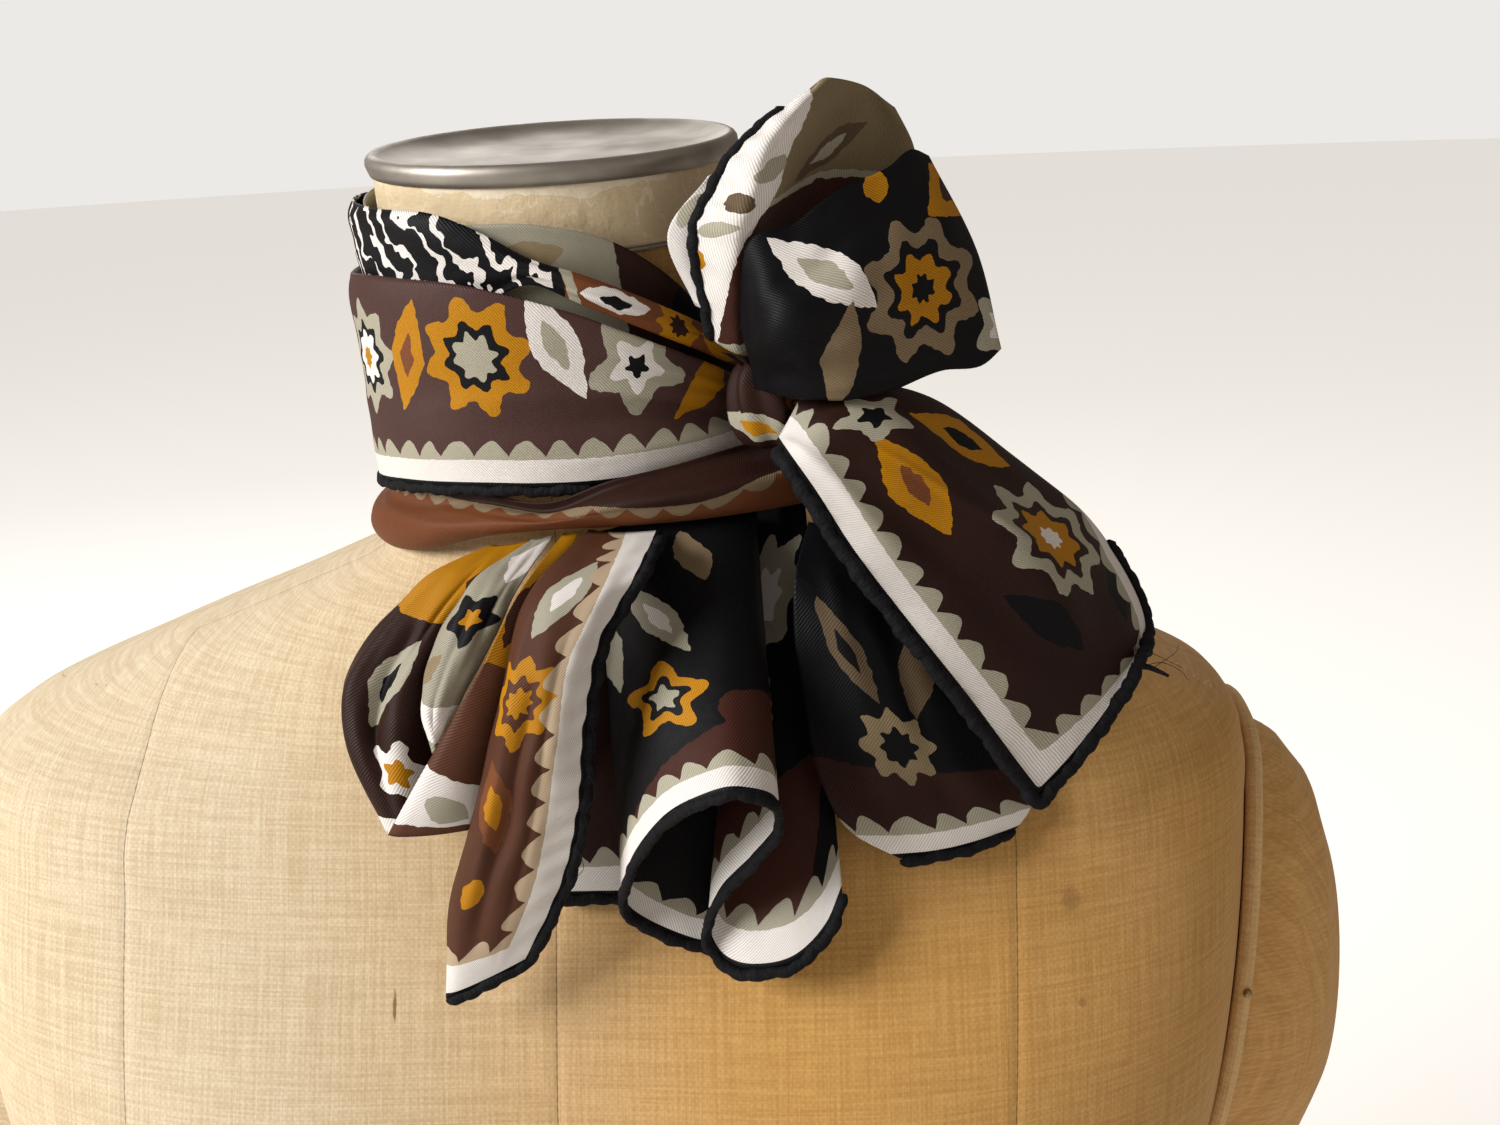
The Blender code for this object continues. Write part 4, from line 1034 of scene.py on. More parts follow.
MAIN_FOLDS = table(
    FOLDS,
    (0.30, 0.62, 0.05, 0.55, 0.38, 0.66),
    (0.22, 0.44, 0.06, -0.65, 0.42, 0.66),
    (0.74, 0.64, 0.025, 0.8, 0.55, 0.67),
    (0.66, 0.56, 0.025, -0.7, 0.56, 0.67),
    (0.54, 0.47, 0.03, 0.7, 0.54, 0.67),
    (0.10, 0.30, 0.04, 0.5, 0.50, 0.67),
    (0.50, 0.30, 0.07, 0.6, 0.05, 0.40),
    (0.60, 0.35, 0.07, 0.6, 0.68, 0.98),
)
INNER_FOLDS = table(FOLDS, (0.8, 0.5, 0.1, 0.3, 0.5, 0.65))
UPPER_FOLDS = table(
    FOLDS,
    (0.10, 0.85, 0.10, -0.7, 0.48, 0.60),
    (0.10, 0.85, 0.10, -0.7, 0.55, 0.67),
    (0.85, 0.40, 0.12, 0.5, 0.38, 0.52),
    (0.60, 0.60, 0.10, -0.4, 0.30, 0.50),
)
LOWER_FOLDS = table(
    FOLDS,
    (0.20, 0.75, 0.07, -0.7, 0.40, 0.62),
    (0.45, 0.80, 0.08, 0.6, 0.36, 0.56),
    (0.35, 0.55, 0.06, -0.8, 0.56, 0.68),
    (0.60, 0.60, 0.08, -0.5, 0.22, 0.46),
)
BORDER = (SAGE, PALE_SILK, NAVY_BLACK)
silk(
    "inner_turn",
    creased(turn_of_cloth(INNER, inner_section, 26), INNER_FOLDS, closed=True),
    printed_silk("print_inner_turn", SAGE, INNER_FIGURES),
    "neck_wrap_inner",
    closed=True,
)
silk(
    "upper_turn",
    creased(turn_of_cloth(UPPER, upper_section, 34), UPPER_FOLDS, closed=True),
    printed_silk("print_upper_turn", NAVY_BLACK, UPPER_FIGURES, strokes=192.0),
    "neck_wrap_upper",
    closed=True,
)
main_points = creased(turn_of_cloth(MAIN, main_section, 60), MAIN_FOLDS, closed=True)
hemmed = (MAIN_HEM["from"] < BEARINGS) & (BEARINGS < MAIN_HEM["to"])
silk(
    "main_turn",
    main_points,
    printed_silk("print_main_turn", PLUM_BROWN, MAIN_FIGURES, border=BORDER),
    "neck_wrap_main",
    hem_map=hem_at_foot,
    hem=(main_points[hemmed, 0], main_points[hemmed, 1], "hem_main"),
    closed=True,
)
silk(
    "lower_turn",
    creased(turn_of_cloth(LOWER, lower_section, 38), LOWER_FOLDS, closed=True),
    printed_silk("print_lower_turn", RUST, border=(TAN_PRINT, SHADED_BROWN, SHADED_BROWN), swing=2.4),
    "neck_wrap_lower",
    hem_map=rope_line,
    closed=True,
)

# Knot
# The tight bundle of pleats where the ends cross. Gathered silk runs out of it to the foot of each end,
# and shows from behind.
KNOT = {"x": 61.0, "y": -47.0, "z": -67.5, "wide": 11.0, "deep": 9.0, "tall": 12.0, "pleats": 7}
turn = np.linspace(0, 2 * math.pi, 72, endpoint=False)
rise = np.linspace(0.05, 0.95, 40) * math.pi
pleat = 0.95 + 0.09 * np.cos(KNOT["pleats"] * turn[:, None] + 1.6 * rise[None])
narrow = np.sin(rise)[None] ** 0.5 * pleat
knot_points = np.stack(
    [
        KNOT["x"] + KNOT["wide"] * narrow * np.cos(turn)[:, None],
        KNOT["y"] + KNOT["deep"] * narrow * np.sin(turn)[:, None],
        KNOT["z"] - KNOT["tall"] * np.cos(rise)[None] + 0 * narrow,
    ],
    -1,
)
knot_map = grid(np.linspace(0, 62, 73), np.linspace(0, 30, 40))
knot_maps = {"cloth": knot_map, "hem": knot_map + NO_HEM}
knot = surface("knot_bundle", knot_points, knot_maps, closed=True, ends=True)
KNOT_FIGURES = (
    ("leaf", 43, 10, 13, 4, -12, SAGE, 0.5, OCHRE),
    ("oval", 56, 18, 5, 5, 0, RUST),
)
dress(knot, printed_silk("print_knot", SHADED_BROWN, KNOT_FIGURES), "knot")

FUNNEL = "down first_x first_y first_z last_x last_y last_z bow thick"
FUNNELS = {
    "gather_under_hemmed_back": table(
        FUNNEL,
        (0.0, 57, -45, -62, 66, -48, -62, 0, 4.0),
        (0.5, 54, -48, -57, 64, -48, -58, 0, 2.8),
        (1.0, 49, -51, -53, 60, -47.5, -56, 0, 1.4),
    ),
    "gather_under_broad_front": table(
        FUNNEL,
        (0.0, 60, -46, -58, 66, -48, -66, 0, 3.0),
        (0.5, 61, -51, -60, 80, -52, -63.5, 3, 1.8),
        (1.0, 61, -54, -61.5, 101, -55, -60.5, 7, 0.9),
    ),
    "gather_behind_big_end": table(
        FUNNEL,
        (0.0, 64, -46, -60, 65, -46, -74, 0, 3.0),
        (0.5, 71, -51, -62, 69, -52, -75, 0, 2.4),
        (1.0, 84, -54.5, -64.5, 75, -60, -76, 0, 1.2),
    ),
    "gather_over_dark_layer": table(
        FUNNEL,
        (0.0, 60, -48, -74, 68, -47, -74, 0, 3.5),
        (0.5, 67, -50, -86, 78, -49, -86, 0, 2.4),
        (1.0, 72, -54, -97.2, 85, -52, -98.2, 1.5, 1.0),
    ),
}


def curve(rows, key, name, at):
    """A smooth line in space through the columns `name`_x, `name`_y and `name`_z."""
    return np.stack([smooth(rows, key, name + axis, at) for axis in ("_x", "_y", "_z")], -1)


def gather(name, rows, pleats):
    """A flattened funnel of gathered silk with pleats down its length, from the knot to an end's foot."""
    down = np.linspace(0, 1, 30)
    around = np.linspace(0, 2 * math.pi, 110, endpoint=False)[:, None]
    share = 0.5 - 0.5 * np.cos(around)
    first, last = (curve(rows, "down", side, down) for side in ("first", "last"))
    points = first[None] * (1 - share[..., None]) + last[None] * share[..., None]
    points[..., 1] -= smooth(rows, "down", "bow", down)[None] * np.sin(math.pi * share)
    normal = unit(np.cross(last - first, np.gradient((first + last) / 2, axis=0)))
    folds = np.sin(2 * math.pi * pleats * share + 0.9 * down[None]) * np.sin(math.pi * share) ** 0.5
    proud = smooth(rows, "down", "thick", down)[None] * np.sin(around) + 0.8 * folds
    points += normal[None] * proud[..., None]
    cloth = grid(np.linspace(0, 60, 111), np.linspace(0, 24, 30))
    piece = surface(name, points, {"cloth": cloth, "hem": cloth + NO_HEM}, closed=True, ends=True)
    # The gathers take the shaded brown, so that they read as folds in shadow: painted shade.
    dress(piece, printed_silk("print_" + name, SHADED_BROWN))


for (name, rows), pleats in zip(FUNNELS.items(), (3, 5, 3, 3)):
    gather(name, rows, pleats)

# Standing end
# One end stands up from the knot beside the cap: a hemmed back, gathered along its hem, a broad front that
# hides its foot, and the edge of a pale layer behind them.
EAR_FRONT = table(
    "down top_x top_y top_z belly_x belly_y belly_z foot_x foot_y foot_z",
    (0.00, 55, -56, -46, 57, -58, -54, 58, -56, -62),
    (0.20, 58, -63, -25, 65, -73, -44, 70, -66, -63),
    (0.40, 70, -60, -20, 77, -72, -42, 82, -66, -63.5),
    (0.60, 81, -55, -13, 89, -66, -38, 93, -62, -62.5),
    (0.80, 93, -47, -9, 101, -57, -34, 106, -56, -59),
    (0.93, 100, -41, -5, 111, -47, -31, 117, -50, -59),
    (1.00, 104, -37, -7, 116, -40, -31, 122, -45, -56),
)
EAR_BACK = table(
    "down hem_x hem_y hem_z ridge_x ridge_y ridge_z deep_x deep_y deep_z far_x far_y far_z",
    (0.00, 48, -52, -50, 53, -53, -53, 56, -51, -54, 60, -48, -54),
    (0.25, 45, -57, -24, 56, -62, -27, 64, -46, -31, 75, -40, -38),
    (0.50, 50, -57, -12, 61, -64, -14, 74, -38, -16, 92, -31, -27),
    (0.70, 57, -55, -2, 66, -61, -1, 82, -32, -4, 101, -26, -15),
    (0.85, 66, -51, 5, 72, -55, 6, 86, -29, 4, 101, -24, -5),
    (1.00, 76, -43, 12, 80, -41, 13, 88, -30, 11, 96, -25, 5),
)
TWO_EDGES = "down left_x left_y left_z right_x right_y right_z bow curl_first curl_last"
EAR_UNDER = table(
    TWO_EDGES,
    (0.0, 43, -48.5, -41, 46, -49.5, -42, 1, 0, 0),
    (0.5, 37, -49, -23, 46, -49, -23, 1, 0, 0),
    (1.0, 48, -49, -9, 54, -48, -6, 0, 0, 0),
)
LEFT_TO_RIGHT = {"left": 0.0, "right": 1.0}
CURL_WIDE = 0.16
GATHERS = {"count": 10, "proud": 0.45, "until": 0.34}


def panel(rows, lanes, across, down):
    """A sheet through two or more lanes, which may bow to the front and curl back at its outer lanes."""
    t = np.linspace(rows["down"][0], rows["down"][-1], down)
    u = np.linspace(0, 1, across)
    share = np.array(list(lanes.values()), float)
    points = np.zeros((down, across, 3))
    for name, own in zip(lanes, np.eye(len(share))):
        pull = smooth({"share": share, "value": own}, "share", "value", u)
        points += curve(rows, "down", name, t)[:, None] * pull[None, :, None]
    first = np.maximum(0, 1 - u / CURL_WIDE) ** 2
    last = np.maximum(0, 1 - (1 - u) / CURL_WIDE) ** 2
    for column, shape in (("bow", -np.sin(math.pi * u)), ("curl_first", first), ("curl_last", last)):
        if column in rows:
            points[..., 1] += smooth(rows, "down", column, t)[:, None] * shape[None]
    return points


def hem_on_left(cloth):
    """A hem down the left edge only."""
    return np.stack([cloth[..., 1], cloth[..., 0] - cloth[:, :1, 0]], -1)


def hem_on_foot(cloth):
    """A hem along the foot only."""
    return np.stack([cloth[..., 0], cloth[-1:, :, 1] - cloth[..., 1]], -1)


def hem_round_corner(cloth):
    """A hem down the right side and along the foot, which meet in a mitre at the corner."""
    off_side = cloth[:, -1:, 0] - cloth[..., 0]
    off_foot = cloth[-1:, :, 1] - cloth[..., 1]
    along = np.where(off_side < off_foot, off_foot, off_side)
    return np.stack([along, np.minimum(off_side, off_foot)], -1)


EAR_FRONT_FIGURES = (
    ("flower", 5, 60, 16, 16, 12, TAN_PRINT, 0.68, NAVY_BLACK, 0.5, OCHRE, 0.2, NAVY_BLACK),
    ("leaf", -9, 35, 17, 6.5, 38, PALE_SILK, 0.5, SAGE),
    ("leaf", 14, 33, 15, 5.5, -24, TAN_PRINT),
    ("leaf", -17, 82, 8, 14, 22, OCHRE, 0.45, RED_BROWN),
    ("clover", 21, 84, 8, 9, 0, SAGE, 0.5, PALE_SILK),
    ("oval", -24, 56, 4, 4, 0, OCHRE),
)
EAR_BACK_FIGURES = (
    ("bar", 0, 24, 62, 22, 20, SAGE, 0.9, RED_BROWN),
    ("bar", -31, 32, 20, 70, 8, PALE_SILK),
    ("oval", -20, 11, 5, 3, 24, SAGE),
    ("oval", -22, 21, 5, 3, -20, OCHRE),
    ("oval", -20, 31, 5, 3, 24, SAGE),
    ("oval", -22, 41, 5, 3, -20, SHADED_TAN),
    ("oval", -18, 51, 5, 3, 24, SAGE),
    ("leaf", 5, 57, 14, 5, 46, SHADED_TAN, 0.5, SAGE),
)
EAR_FRONT_FOLDS = table(
    FOLDS,
    (0.55, 0.30, 0.12, 1.4, 0.0, 0.8),
    (0.85, 0.70, 0.08, -1.2, 0.0, 0.9),
    (0.35, 0.10, 0.06, -0.7, 0.1, 0.9),
    (0.70, 0.52, 0.05, -0.6, 0.1, 0.7),
    (0.92, 0.90, 0.04, 0.8, 0.2, 0.9),
)
EAR_BACK_FOLDS = table(FOLDS, (0.33, 0.33, 0.04, -0.9, 0.1, 1.0), (0.60, 0.72, 0.07, 0.9, 0.2, 0.95))
EAR_BACK_LANES = {"hem": 0.0, "ridge": 0.3, "deep": 0.62, "far": 1.0}
silk(
    "standing_end_front",
    creased(panel(EAR_FRONT, {"top": 0.0, "belly": 0.5, "foot": 1.0}, 50, 64), EAR_FRONT_FOLDS),
    printed_silk("print_standing_front", NAVY_BLACK, EAR_FRONT_FIGURES, slope=-0.9),
    "ear_front",
)
ear_back = creased(panel(EAR_BACK, EAR_BACK_LANES, 60, 90), EAR_BACK_FOLDS)
down_it, across_it = np.linspace(0, 1, 90)[:, None], np.linspace(0, 1, 60)[None]
ripple = GATHERS["proud"] * np.sin(2 * math.pi * GATHERS["count"] * (down_it + 0.12 * across_it))
ripple = ripple * np.clip(1 - across_it / GATHERS["until"], 0, 1) * np.clip(across_it / 0.05, 0.3, 1)
ear_back = ear_back + facing(ear_back) * ripple[..., None]
silk(
    "standing_end_back",
    ear_back,
    printed_silk("print_standing_back", OLIVE, EAR_BACK_FIGURES),
    "ear_back",
    hem_map=hem_on_left,
    hem=(ear_back[:-10, 0], ear_back[:-10, 1], "hem_ear"),
)
silk(
    "standing_end_under",
    panel(EAR_UNDER, LEFT_TO_RIGHT, 14, 30),
    printed_silk("print_standing_under", PALE_SILK, (("oval", -1, 26, 3, 5, 0, SAGE),)),
    "ear_under",
)

# Big hanging end
# One corner of the silk spreads from the knot over the wearer's left shoulder, and is hemmed on two sides.
# A darker layer of the same silk hangs below it.
TAIL_RIGHT = table(
    TWO_EDGES,
    (0.00, 63, -57, -76, 69, -56, -66, 1, 0, 1),
    (0.12, 66, -71, -77, 85, -60, -62, 3, 0, 3),
    (0.25, 72, -76, -85, 104, -52, -68, 6, 0, 5),
    (0.40, 81, -81, -99, 125, -43, -86, 9, 0, 6),
    (0.60, 96, -86, -119, 149, -37, -108, 11, 0, 7),
    (0.75, 108, -88, -135, 160, -36, -125, 10, 0, 6),
    (0.88, 118, -88, -150, 164, -42, -136, 7, 0, 4),
    (1.00, 128, -87, -165, 157.5, -58, -141, 3, 0, 0),
)
TAIL_RIGHT_UNDER = table(
    TWO_EDGES,
    (0.00, 70.5, -56, -98.5, 86, -54, -100, 2, 0, 0),
    (0.30, 66.5, -73, -112, 102, -66, -122, 4, 0, 0),
    (0.60, 68, -80, -139, 116, -71, -148, 6, 0, 0),
    (0.80, 72.5, -87, -160, 124, -76, -164, 6, 0, 0),
    (0.93, 81, -91, -173, 127, -79, -172, 5, 0, 0),
    (1.00, 92, -92, -179, 123, -81, -177, 3, 0, 0),
)
BIG_END_FOLDS = table(
    FOLDS,
    (0.70, 0.62, 0.10, 3.0, 0.15, 0.85),
    (0.35, 0.42, 0.12, -2.0, 0.1, 0.8),
    (0.50, 0.78, 0.018, 0.7, 0.18, 0.72),
    (0.15, 0.22, 0.06, 0.9, 0.02, 0.45),
    (0.85, 0.90, 0.05, -0.9, 0.1, 0.6),
)
BIG_END_FIGURES = (
    ("flower", 15, 76, 17, 17, 0, SAGE, 0.7, SHADED_BROWN, 0.52, OCHRE, 0.2, PALE_SILK),
    ("leaf", -6, 44, 7, 17, 16, OCHRE, 0.4, RUST),
    ("leaf", 20, 42, 6.5, 15, -30, OCHRE, 0.4, NAVY_BLACK),
    ("clover", 5, 23, 7, 7, 0, SAGE, 0.45, NAVY_BLACK),
    ("leaf", -7, 94, 6, 14, -26, NAVY_BLACK),
    ("leaf", 28, 100, 5, 11, 30, NAVY_BLACK),
)
DARK_LAYER_FIGURES = (
    ("bar", 2, 84, 60, 14, 4, SHADED_BROWN),
    ("leaf", -9, 38, 5, 14, -18, SHADED_TAN, 0.4, NAVY_BLACK),
    ("leaf", 9, 42, 5, 14, 18, SHADED_TAN),
    ("flower", -3, 63, 9, 9, 0, OLIVE, 0.5, NAVY_BLACK),
)
FAR_HEM_FROM = 0.70
FAR_HEM_FADE = 70
BIG_END_ROWS = 90
big_end = creased(panel(TAIL_RIGHT, LEFT_TO_RIGHT, 72, BIG_END_ROWS), BIG_END_FOLDS)


def hem_up_far_side(cloth):
    """The big end's hem: down its near side, along its foot and a little way up its far side."""
    down = cloth[..., 1] / cloth[-1:, :, 1]
    off_near = cloth[..., 0] - cloth[:, :1, 0]
    off_far = cloth[:, -1:, 0] - cloth[..., 0] + FAR_HEM_FADE * np.maximum(FAR_HEM_FROM - down, 0)
    off_foot = cloth[-1:, :, 1] - cloth[..., 1]
    off = np.minimum(np.minimum(off_near, off_far), off_foot)
    return np.stack([np.where(off_foot > off, off_foot, off_near), off], -1)


def around_corner(points, side):
    """The edge that runs down one side of a sheet and then along its foot, with the points inside it."""
    inner = 1 if side == 0 else -2
    foot_row = points[-1, 1:] if side == 0 else points[-1, -2::-1]
    above = points[-2, 1:] if side == 0 else points[-2, -2::-1]
    edge = np.concatenate([points[4:, side], foot_row])
    return edge, np.concatenate([points[4:-1, inner], points[-2:-1, inner], above])


near_edge, near_inside = around_corner(big_end, 0)
up_far_side = slice(-2, int(BIG_END_ROWS * FAR_HEM_FROM) - 4, -1)
silk(
    "big_end",
    big_end,
    printed_silk("print_big_end", SHADED_BROWN, BIG_END_FIGURES, border=BORDER, slope=-0.9),
    "tail_right",
    hem_map=hem_up_far_side,
    hem=(
        np.concatenate([near_edge, big_end[up_far_side, -1]]),
        np.concatenate([near_inside, big_end[up_far_side, -2]]),
        "hem_right",
        1.25 * HEM_RADIUS,
    ),
)
DARK_LAYER_FOLDS = table(FOLDS, (0.30, 0.36, 0.08, 1.0, 0.1, 1.0), (0.66, 0.60, 0.08, -1.2, 0.1, 1.0))
dark_layer = creased(panel(TAIL_RIGHT_UNDER, LEFT_TO_RIGHT, 48, 66), DARK_LAYER_FOLDS)
silk(
    "dark_layer",
    dark_layer,
    printed_silk("print_dark_layer", NAVY_BLACK, DARK_LAYER_FIGURES, border=BORDER),
    "tail_right_under",
    hem_map=hem_on_foot,
    hem=(dark_layer[-1], dark_layer[-2], "hem_right_under"),
)

# Loop at the wearer's right
# A fold of the silk hangs from the rope and turns under itself. It shows an outer band, the plump roll
# inside it and its near side.
TAIL_LOOP = table(
    TWO_EDGES,
    (0.00, -16, -54, -103.4, -5, -56, -101.6, 1, 1, 0),
    (0.20, -28, -67, -106, -10, -70, -107, 3, 3, 0),
    (0.40, -40, -75, -115, -19, -77, -122, 5, 5, 0),
    (0.60, -51, -84, -128, -23, -84, -135, 6, 7, 0),
    (0.75, -53, -89, -138, -24, -88, -146, 7, 8, 0),
    (0.90, -47, -95, -154, -25, -94, -156, 6, 6, 0),
    (1.00, -41, -98, -166, -26, -98, -166, 3, 2, 0),
)
TAIL_LOOP_ROLL = table(
    TWO_EDGES,
    (0.00, -3, -57.5, -100.4, 2, -58, -99.6, 1, 0, 0),
    (0.25, -14, -80, -104, -3, -82, -106, 3, 2, 0),
    (0.50, -24, -89, -117, -10, -91, -119, 5, 5, 0),
    (0.75, -28, -95, -130, -18, -96, -132, 5, 5, 0),
    (1.00, -25, -99, -143, -23, -99, -143, 1, 1, 0),
)
TAIL_LOOP_FRONT = table(
    TWO_EDGES,
    (0.00, 5, -58, -99.2, 9, -58, -98.8, 1, 0, 0),
    (0.25, -2, -86, -106, 4, -83, -110, 1, 0, 0),
    (0.50, -12, -97, -124, -4, -94, -130, 1, 0, 0),
    (0.75, -23, -102, -141, -11, -99, -149, 2, 1, 0),
    (0.90, -32, -105, -155, -15, -102, -159, 2, 1, 0),
    (1.00, -37, -106, -163, -17, -103, -163, 1, 1, 0),
)
LOOP_FOLDS = table(
    FOLDS,
    (0.36, 0.40, 0.10, -4.0, 0.35, 0.98),
    (0.62, 0.62, 0.12, 2.5, 0.4, 0.9),
    (0.10, 0.12, 0.05, 0.8, 0.2, 0.95),
    (0.50, 0.52, 0.04, -0.8, 0.1, 0.6),
)
LOOP_FIGURES = (
    ("bar", 2, 10, 30, 22, -6, OCHRE),
    ("leaf", 8, 18, 5, 11, 0, RED_BROWN),
    ("leaf", 0, 50, 6, 13, 14, SAGE, 0.45, NAVY_BLACK),
    ("clover", 6, 73, 7, 7, 0, PALE_SILK, 0.45, OCHRE),
    ("bar", 2, 97, 30, 11, 0, PALE_SILK),
)
ROLL_FIGURES = (
    ("leaf", 3, 13, 5, 11, 0, PALE_SILK),
    ("clover", 1, 36, 6, 6, 0, NAVY_BLACK, 0.4, OCHRE),
    ("leaf", -3, 52, 3, 6, 20, OLIVE),
    ("bar", 0, 65, 20, 5, 0, PALE_SILK),
)
LOOP_FRONT_FIGURES = (
    ("leaf", -1, 32, 4, 11, 6, RED_BROWN),
    ("bar", 6, 70, 14, 22, 6, WARM_BROWN),
    ("bar", 0, 93, 30, 15, 0, PALE_SILK),
    ("leaf", 2, 87, 7, 4, 20, SAGE),
    ("bar", 6, 100, 30, 8, 0, WARM_BROWN),
)
silk(
    "loop_outer",
    creased(panel(TAIL_LOOP, LEFT_TO_RIGHT, 56, 70), LOOP_FOLDS),
    printed_silk("print_loop_outer", SHADED_BROWN, LOOP_FIGURES),
    "tail_loop",
)
ROLL_FOLDS = table(FOLDS, (0.30, 0.55, 0.08, -0.9, 0.2, 0.9), (0.70, 0.80, 0.06, -0.6, 0.1, 0.7))
silk(
    "loop_roll",
    creased(panel(TAIL_LOOP_ROLL, LEFT_TO_RIGHT, 34, 56), ROLL_FOLDS),
    printed_silk("print_loop_roll", SAGE, ROLL_FIGURES),
    "tail_loop_roll",
)
silk(
    "loop_front",
    panel(TAIL_LOOP_FRONT, LEFT_TO_RIGHT, 26, 60),
    printed_silk("print_loop_front", OCHRE, LOOP_FRONT_FIGURES),
    "tail_loop_front",
)

# Long pointed fold
# It shows the cloth's other face, where the dye is softer, and hangs to a point with a puckered hem. The
# edge of a second layer shows beside it.
TAIL_POINT = table(
    TWO_EDGES,
    (0.00, 12, -58.5, -98.4, 32, -62, -97.8, 2, 1, 0),
    (0.15, 2, -90, -104, 30, -86, -100, 4, 4, 0),
    (0.30, -3, -100, -117, 20, -95, -116, 5, 5, 0),
    (0.45, -8, -106, -136, 16, -100, -133, 5, 5, 0),
    (0.65, -15, -109, -159, 13, -104, -156, 4, 4, 0),
    (0.85, -23, -111, -184, 7, -107, -177, 3, 3, 0),
    (1.00, -26, -111, -208, -4, -108, -198, 1, 1, 0),
)
TAIL_BEHIND = table(
    TWO_EDGES,
    (0.0, 6, -74, -124, 20, -63, -124, 0, 0, 0),
    (0.5, 3, -82, -157, 24, -77.5, -157, 0, 0, 0),
    (1.0, 1, -91, -190, 26, -91, -190, 0, 0, 0),
)
POINT_FOLDS = table(
    FOLDS,
    (0.40, 0.30, 0.08, -2.0, 0.3, 0.95),
    (0.75, 0.72, 0.10, 1.2, 0.0, 0.7),
    (0.18, 0.20, 0.05, 0.6, 0.3, 0.9),
    (0.62, 0.56, 0.04, -0.7, 0.2, 0.98),
)
POINT_FIGURES = (
    ("leaf", -3, 32, 6, 13, 14, SAGE, 0.45, PALE_SILK),
    ("flower", -5, 61, 9, 10, 0, OCHRE, 0.58, WARM_BROWN, 0.32, OCHRE),
    ("leaf", -8, 88, 5, 13, -12, RUST, 0.5, OCHRE),
    ("oval", -9, 111, 3, 4, 0, OCHRE),
)
SOFT_BORDER = (SOFT_TAN, PALE_SILK, NAVY_BLACK)
HEM_PUCKERS = {"count": 15, "proud": 0.45, "from": 0.68, "over": 0.2}
pointed_fold = creased(panel(TAIL_POINT, LEFT_TO_RIGHT, 50, 100), POINT_FOLDS)
down_it, across_it = np.linspace(0, 1, 100)[:, None], np.linspace(0, 1, 50)[None]
pucker = HEM_PUCKERS["proud"] * np.sin(2 * math.pi * HEM_PUCKERS["count"] * down_it + 4 * across_it)
pucker = pucker * np.clip((across_it - HEM_PUCKERS["from"]) / HEM_PUCKERS["over"], 0, 1)
pointed_fold = pointed_fold + facing(pointed_fold) * (pucker * np.sin(math.pi * down_it) ** 0.5)[..., None]
silk(
    "pointed_fold",
    pointed_fold,
    printed_silk("print_pointed_fold", WARM_BROWN, POINT_FIGURES, SOFT_BORDER, depth=7.2),
    "tail_point",
    hem_map=hem_round_corner,
    hem=(*around_corner(pointed_fold, -1), "hem_point"),
)
edge_behind = panel(TAIL_BEHIND, LEFT_TO_RIGHT, 18, 50)
silk(
    "edge_behind",
    edge_behind,
    printed_silk("print_edge_behind", SHADED_BROWN, border=BORDER),
    "tail_behind",
    hem_map=hem_on_foot,
    hem=(edge_behind[-1], edge_behind[-2], "hem_behind"),
)

# Fold that ends in an S
# A fold of the silk hangs freely from the rope. Its hem runs in an S, so the inside of the front lobe and
# the face of the back lobe both show.
TAIL_CENTRE = table(
    "across head_x head_y head_z foot_x foot_y foot_z",
    (0.00, 42, -62, -127, 49, -95.5, -203),
    (0.06, 28, -66, -121, 37, -97.5, -200),
    (0.13, 14, -57, -101.0, 21, -101, -187),
    (0.18, 18, -56.5, -98.6, 24, -107, -173),
    (0.25, 28, -57, -96.8, 34, -114, -156),
    (0.33, 41, -56, -97.0, 46, -120, -146),
    (0.41, 49, -53.5, -96.4, 55, -121, -144),
    (0.47, 54.5, -51, -96.6, 62, -117, -149),
    (0.52, 56, -48.5, -97.4, 62, -111, -159),
    (0.59, 55, -46.5, -98.4, 55, -106, -171),
    (0.66, 53, -45, -99.2, 46, -102, -183),
    (0.72, 52.5, -43.5, -99.8, 42, -100, -194),
    (0.78, 55, -42.2, -99.0, 45, -102, -202),
    (0.85, 60, -41, -96.0, 54, -105, -204),
    (0.91, 62.5, -40, -93.5, 65, -105, -201),
    (0.96, 65, -39, -93.5, 73, -101, -194),
    (1.00, 69, -38.5, -93.5, 77, -97, -186),
)
S_FOLD_FIGURES = (
    ("bar", 40, 84, 45, 22, -4, RED_BROWN),
    ("bar", -12, 96, 32, 18, -16, RED_BROWN),
    ("leaf", -27, 34, 5.5, 15, 10, SAGE),
    ("leaf", -9, 34, 5.5, 15, -14, SAGE, 0.45, PALE_SILK),
    ("clover", -18, 61, 10, 10, 0, OCHRE, 0.6, NAVY_BLACK, 0.35, SAGE),
    ("leaf", 8, 14, 5, 10, 0, TAN_PRINT),
    ("flower", 48, 22, 12, 12, 0, SAGE, 0.5, PALE_SILK),
    ("leaf", 54, 48, 5, 10, 0, TAN_PRINT),
)
u = np.linspace(0, 1, 180)
t = np.linspace(0, 1, 66)[:, None, None]
head, foot = (curve(TAIL_CENTRE, "across", end, u)[None] for end in ("head", "foot"))
s_fold = head * (1 - t) + foot * t
silk(
    "s_fold",
    s_fold,
    printed_silk("print_s_fold", NAVY_BLACK, S_FOLD_FIGURES, border=BORDER),
    "tail_centre",
    hem_map=hem_on_foot,
    hem=(s_fold[-1], s_fold[-2], "hem_centre"),
)

# Loose threads
# Ends of black sewing thread stick out at the hems, where the hand stitching stops. The linen has frayed at
# the tops of the two shoulder seams.
THREAD_SIDES = 6


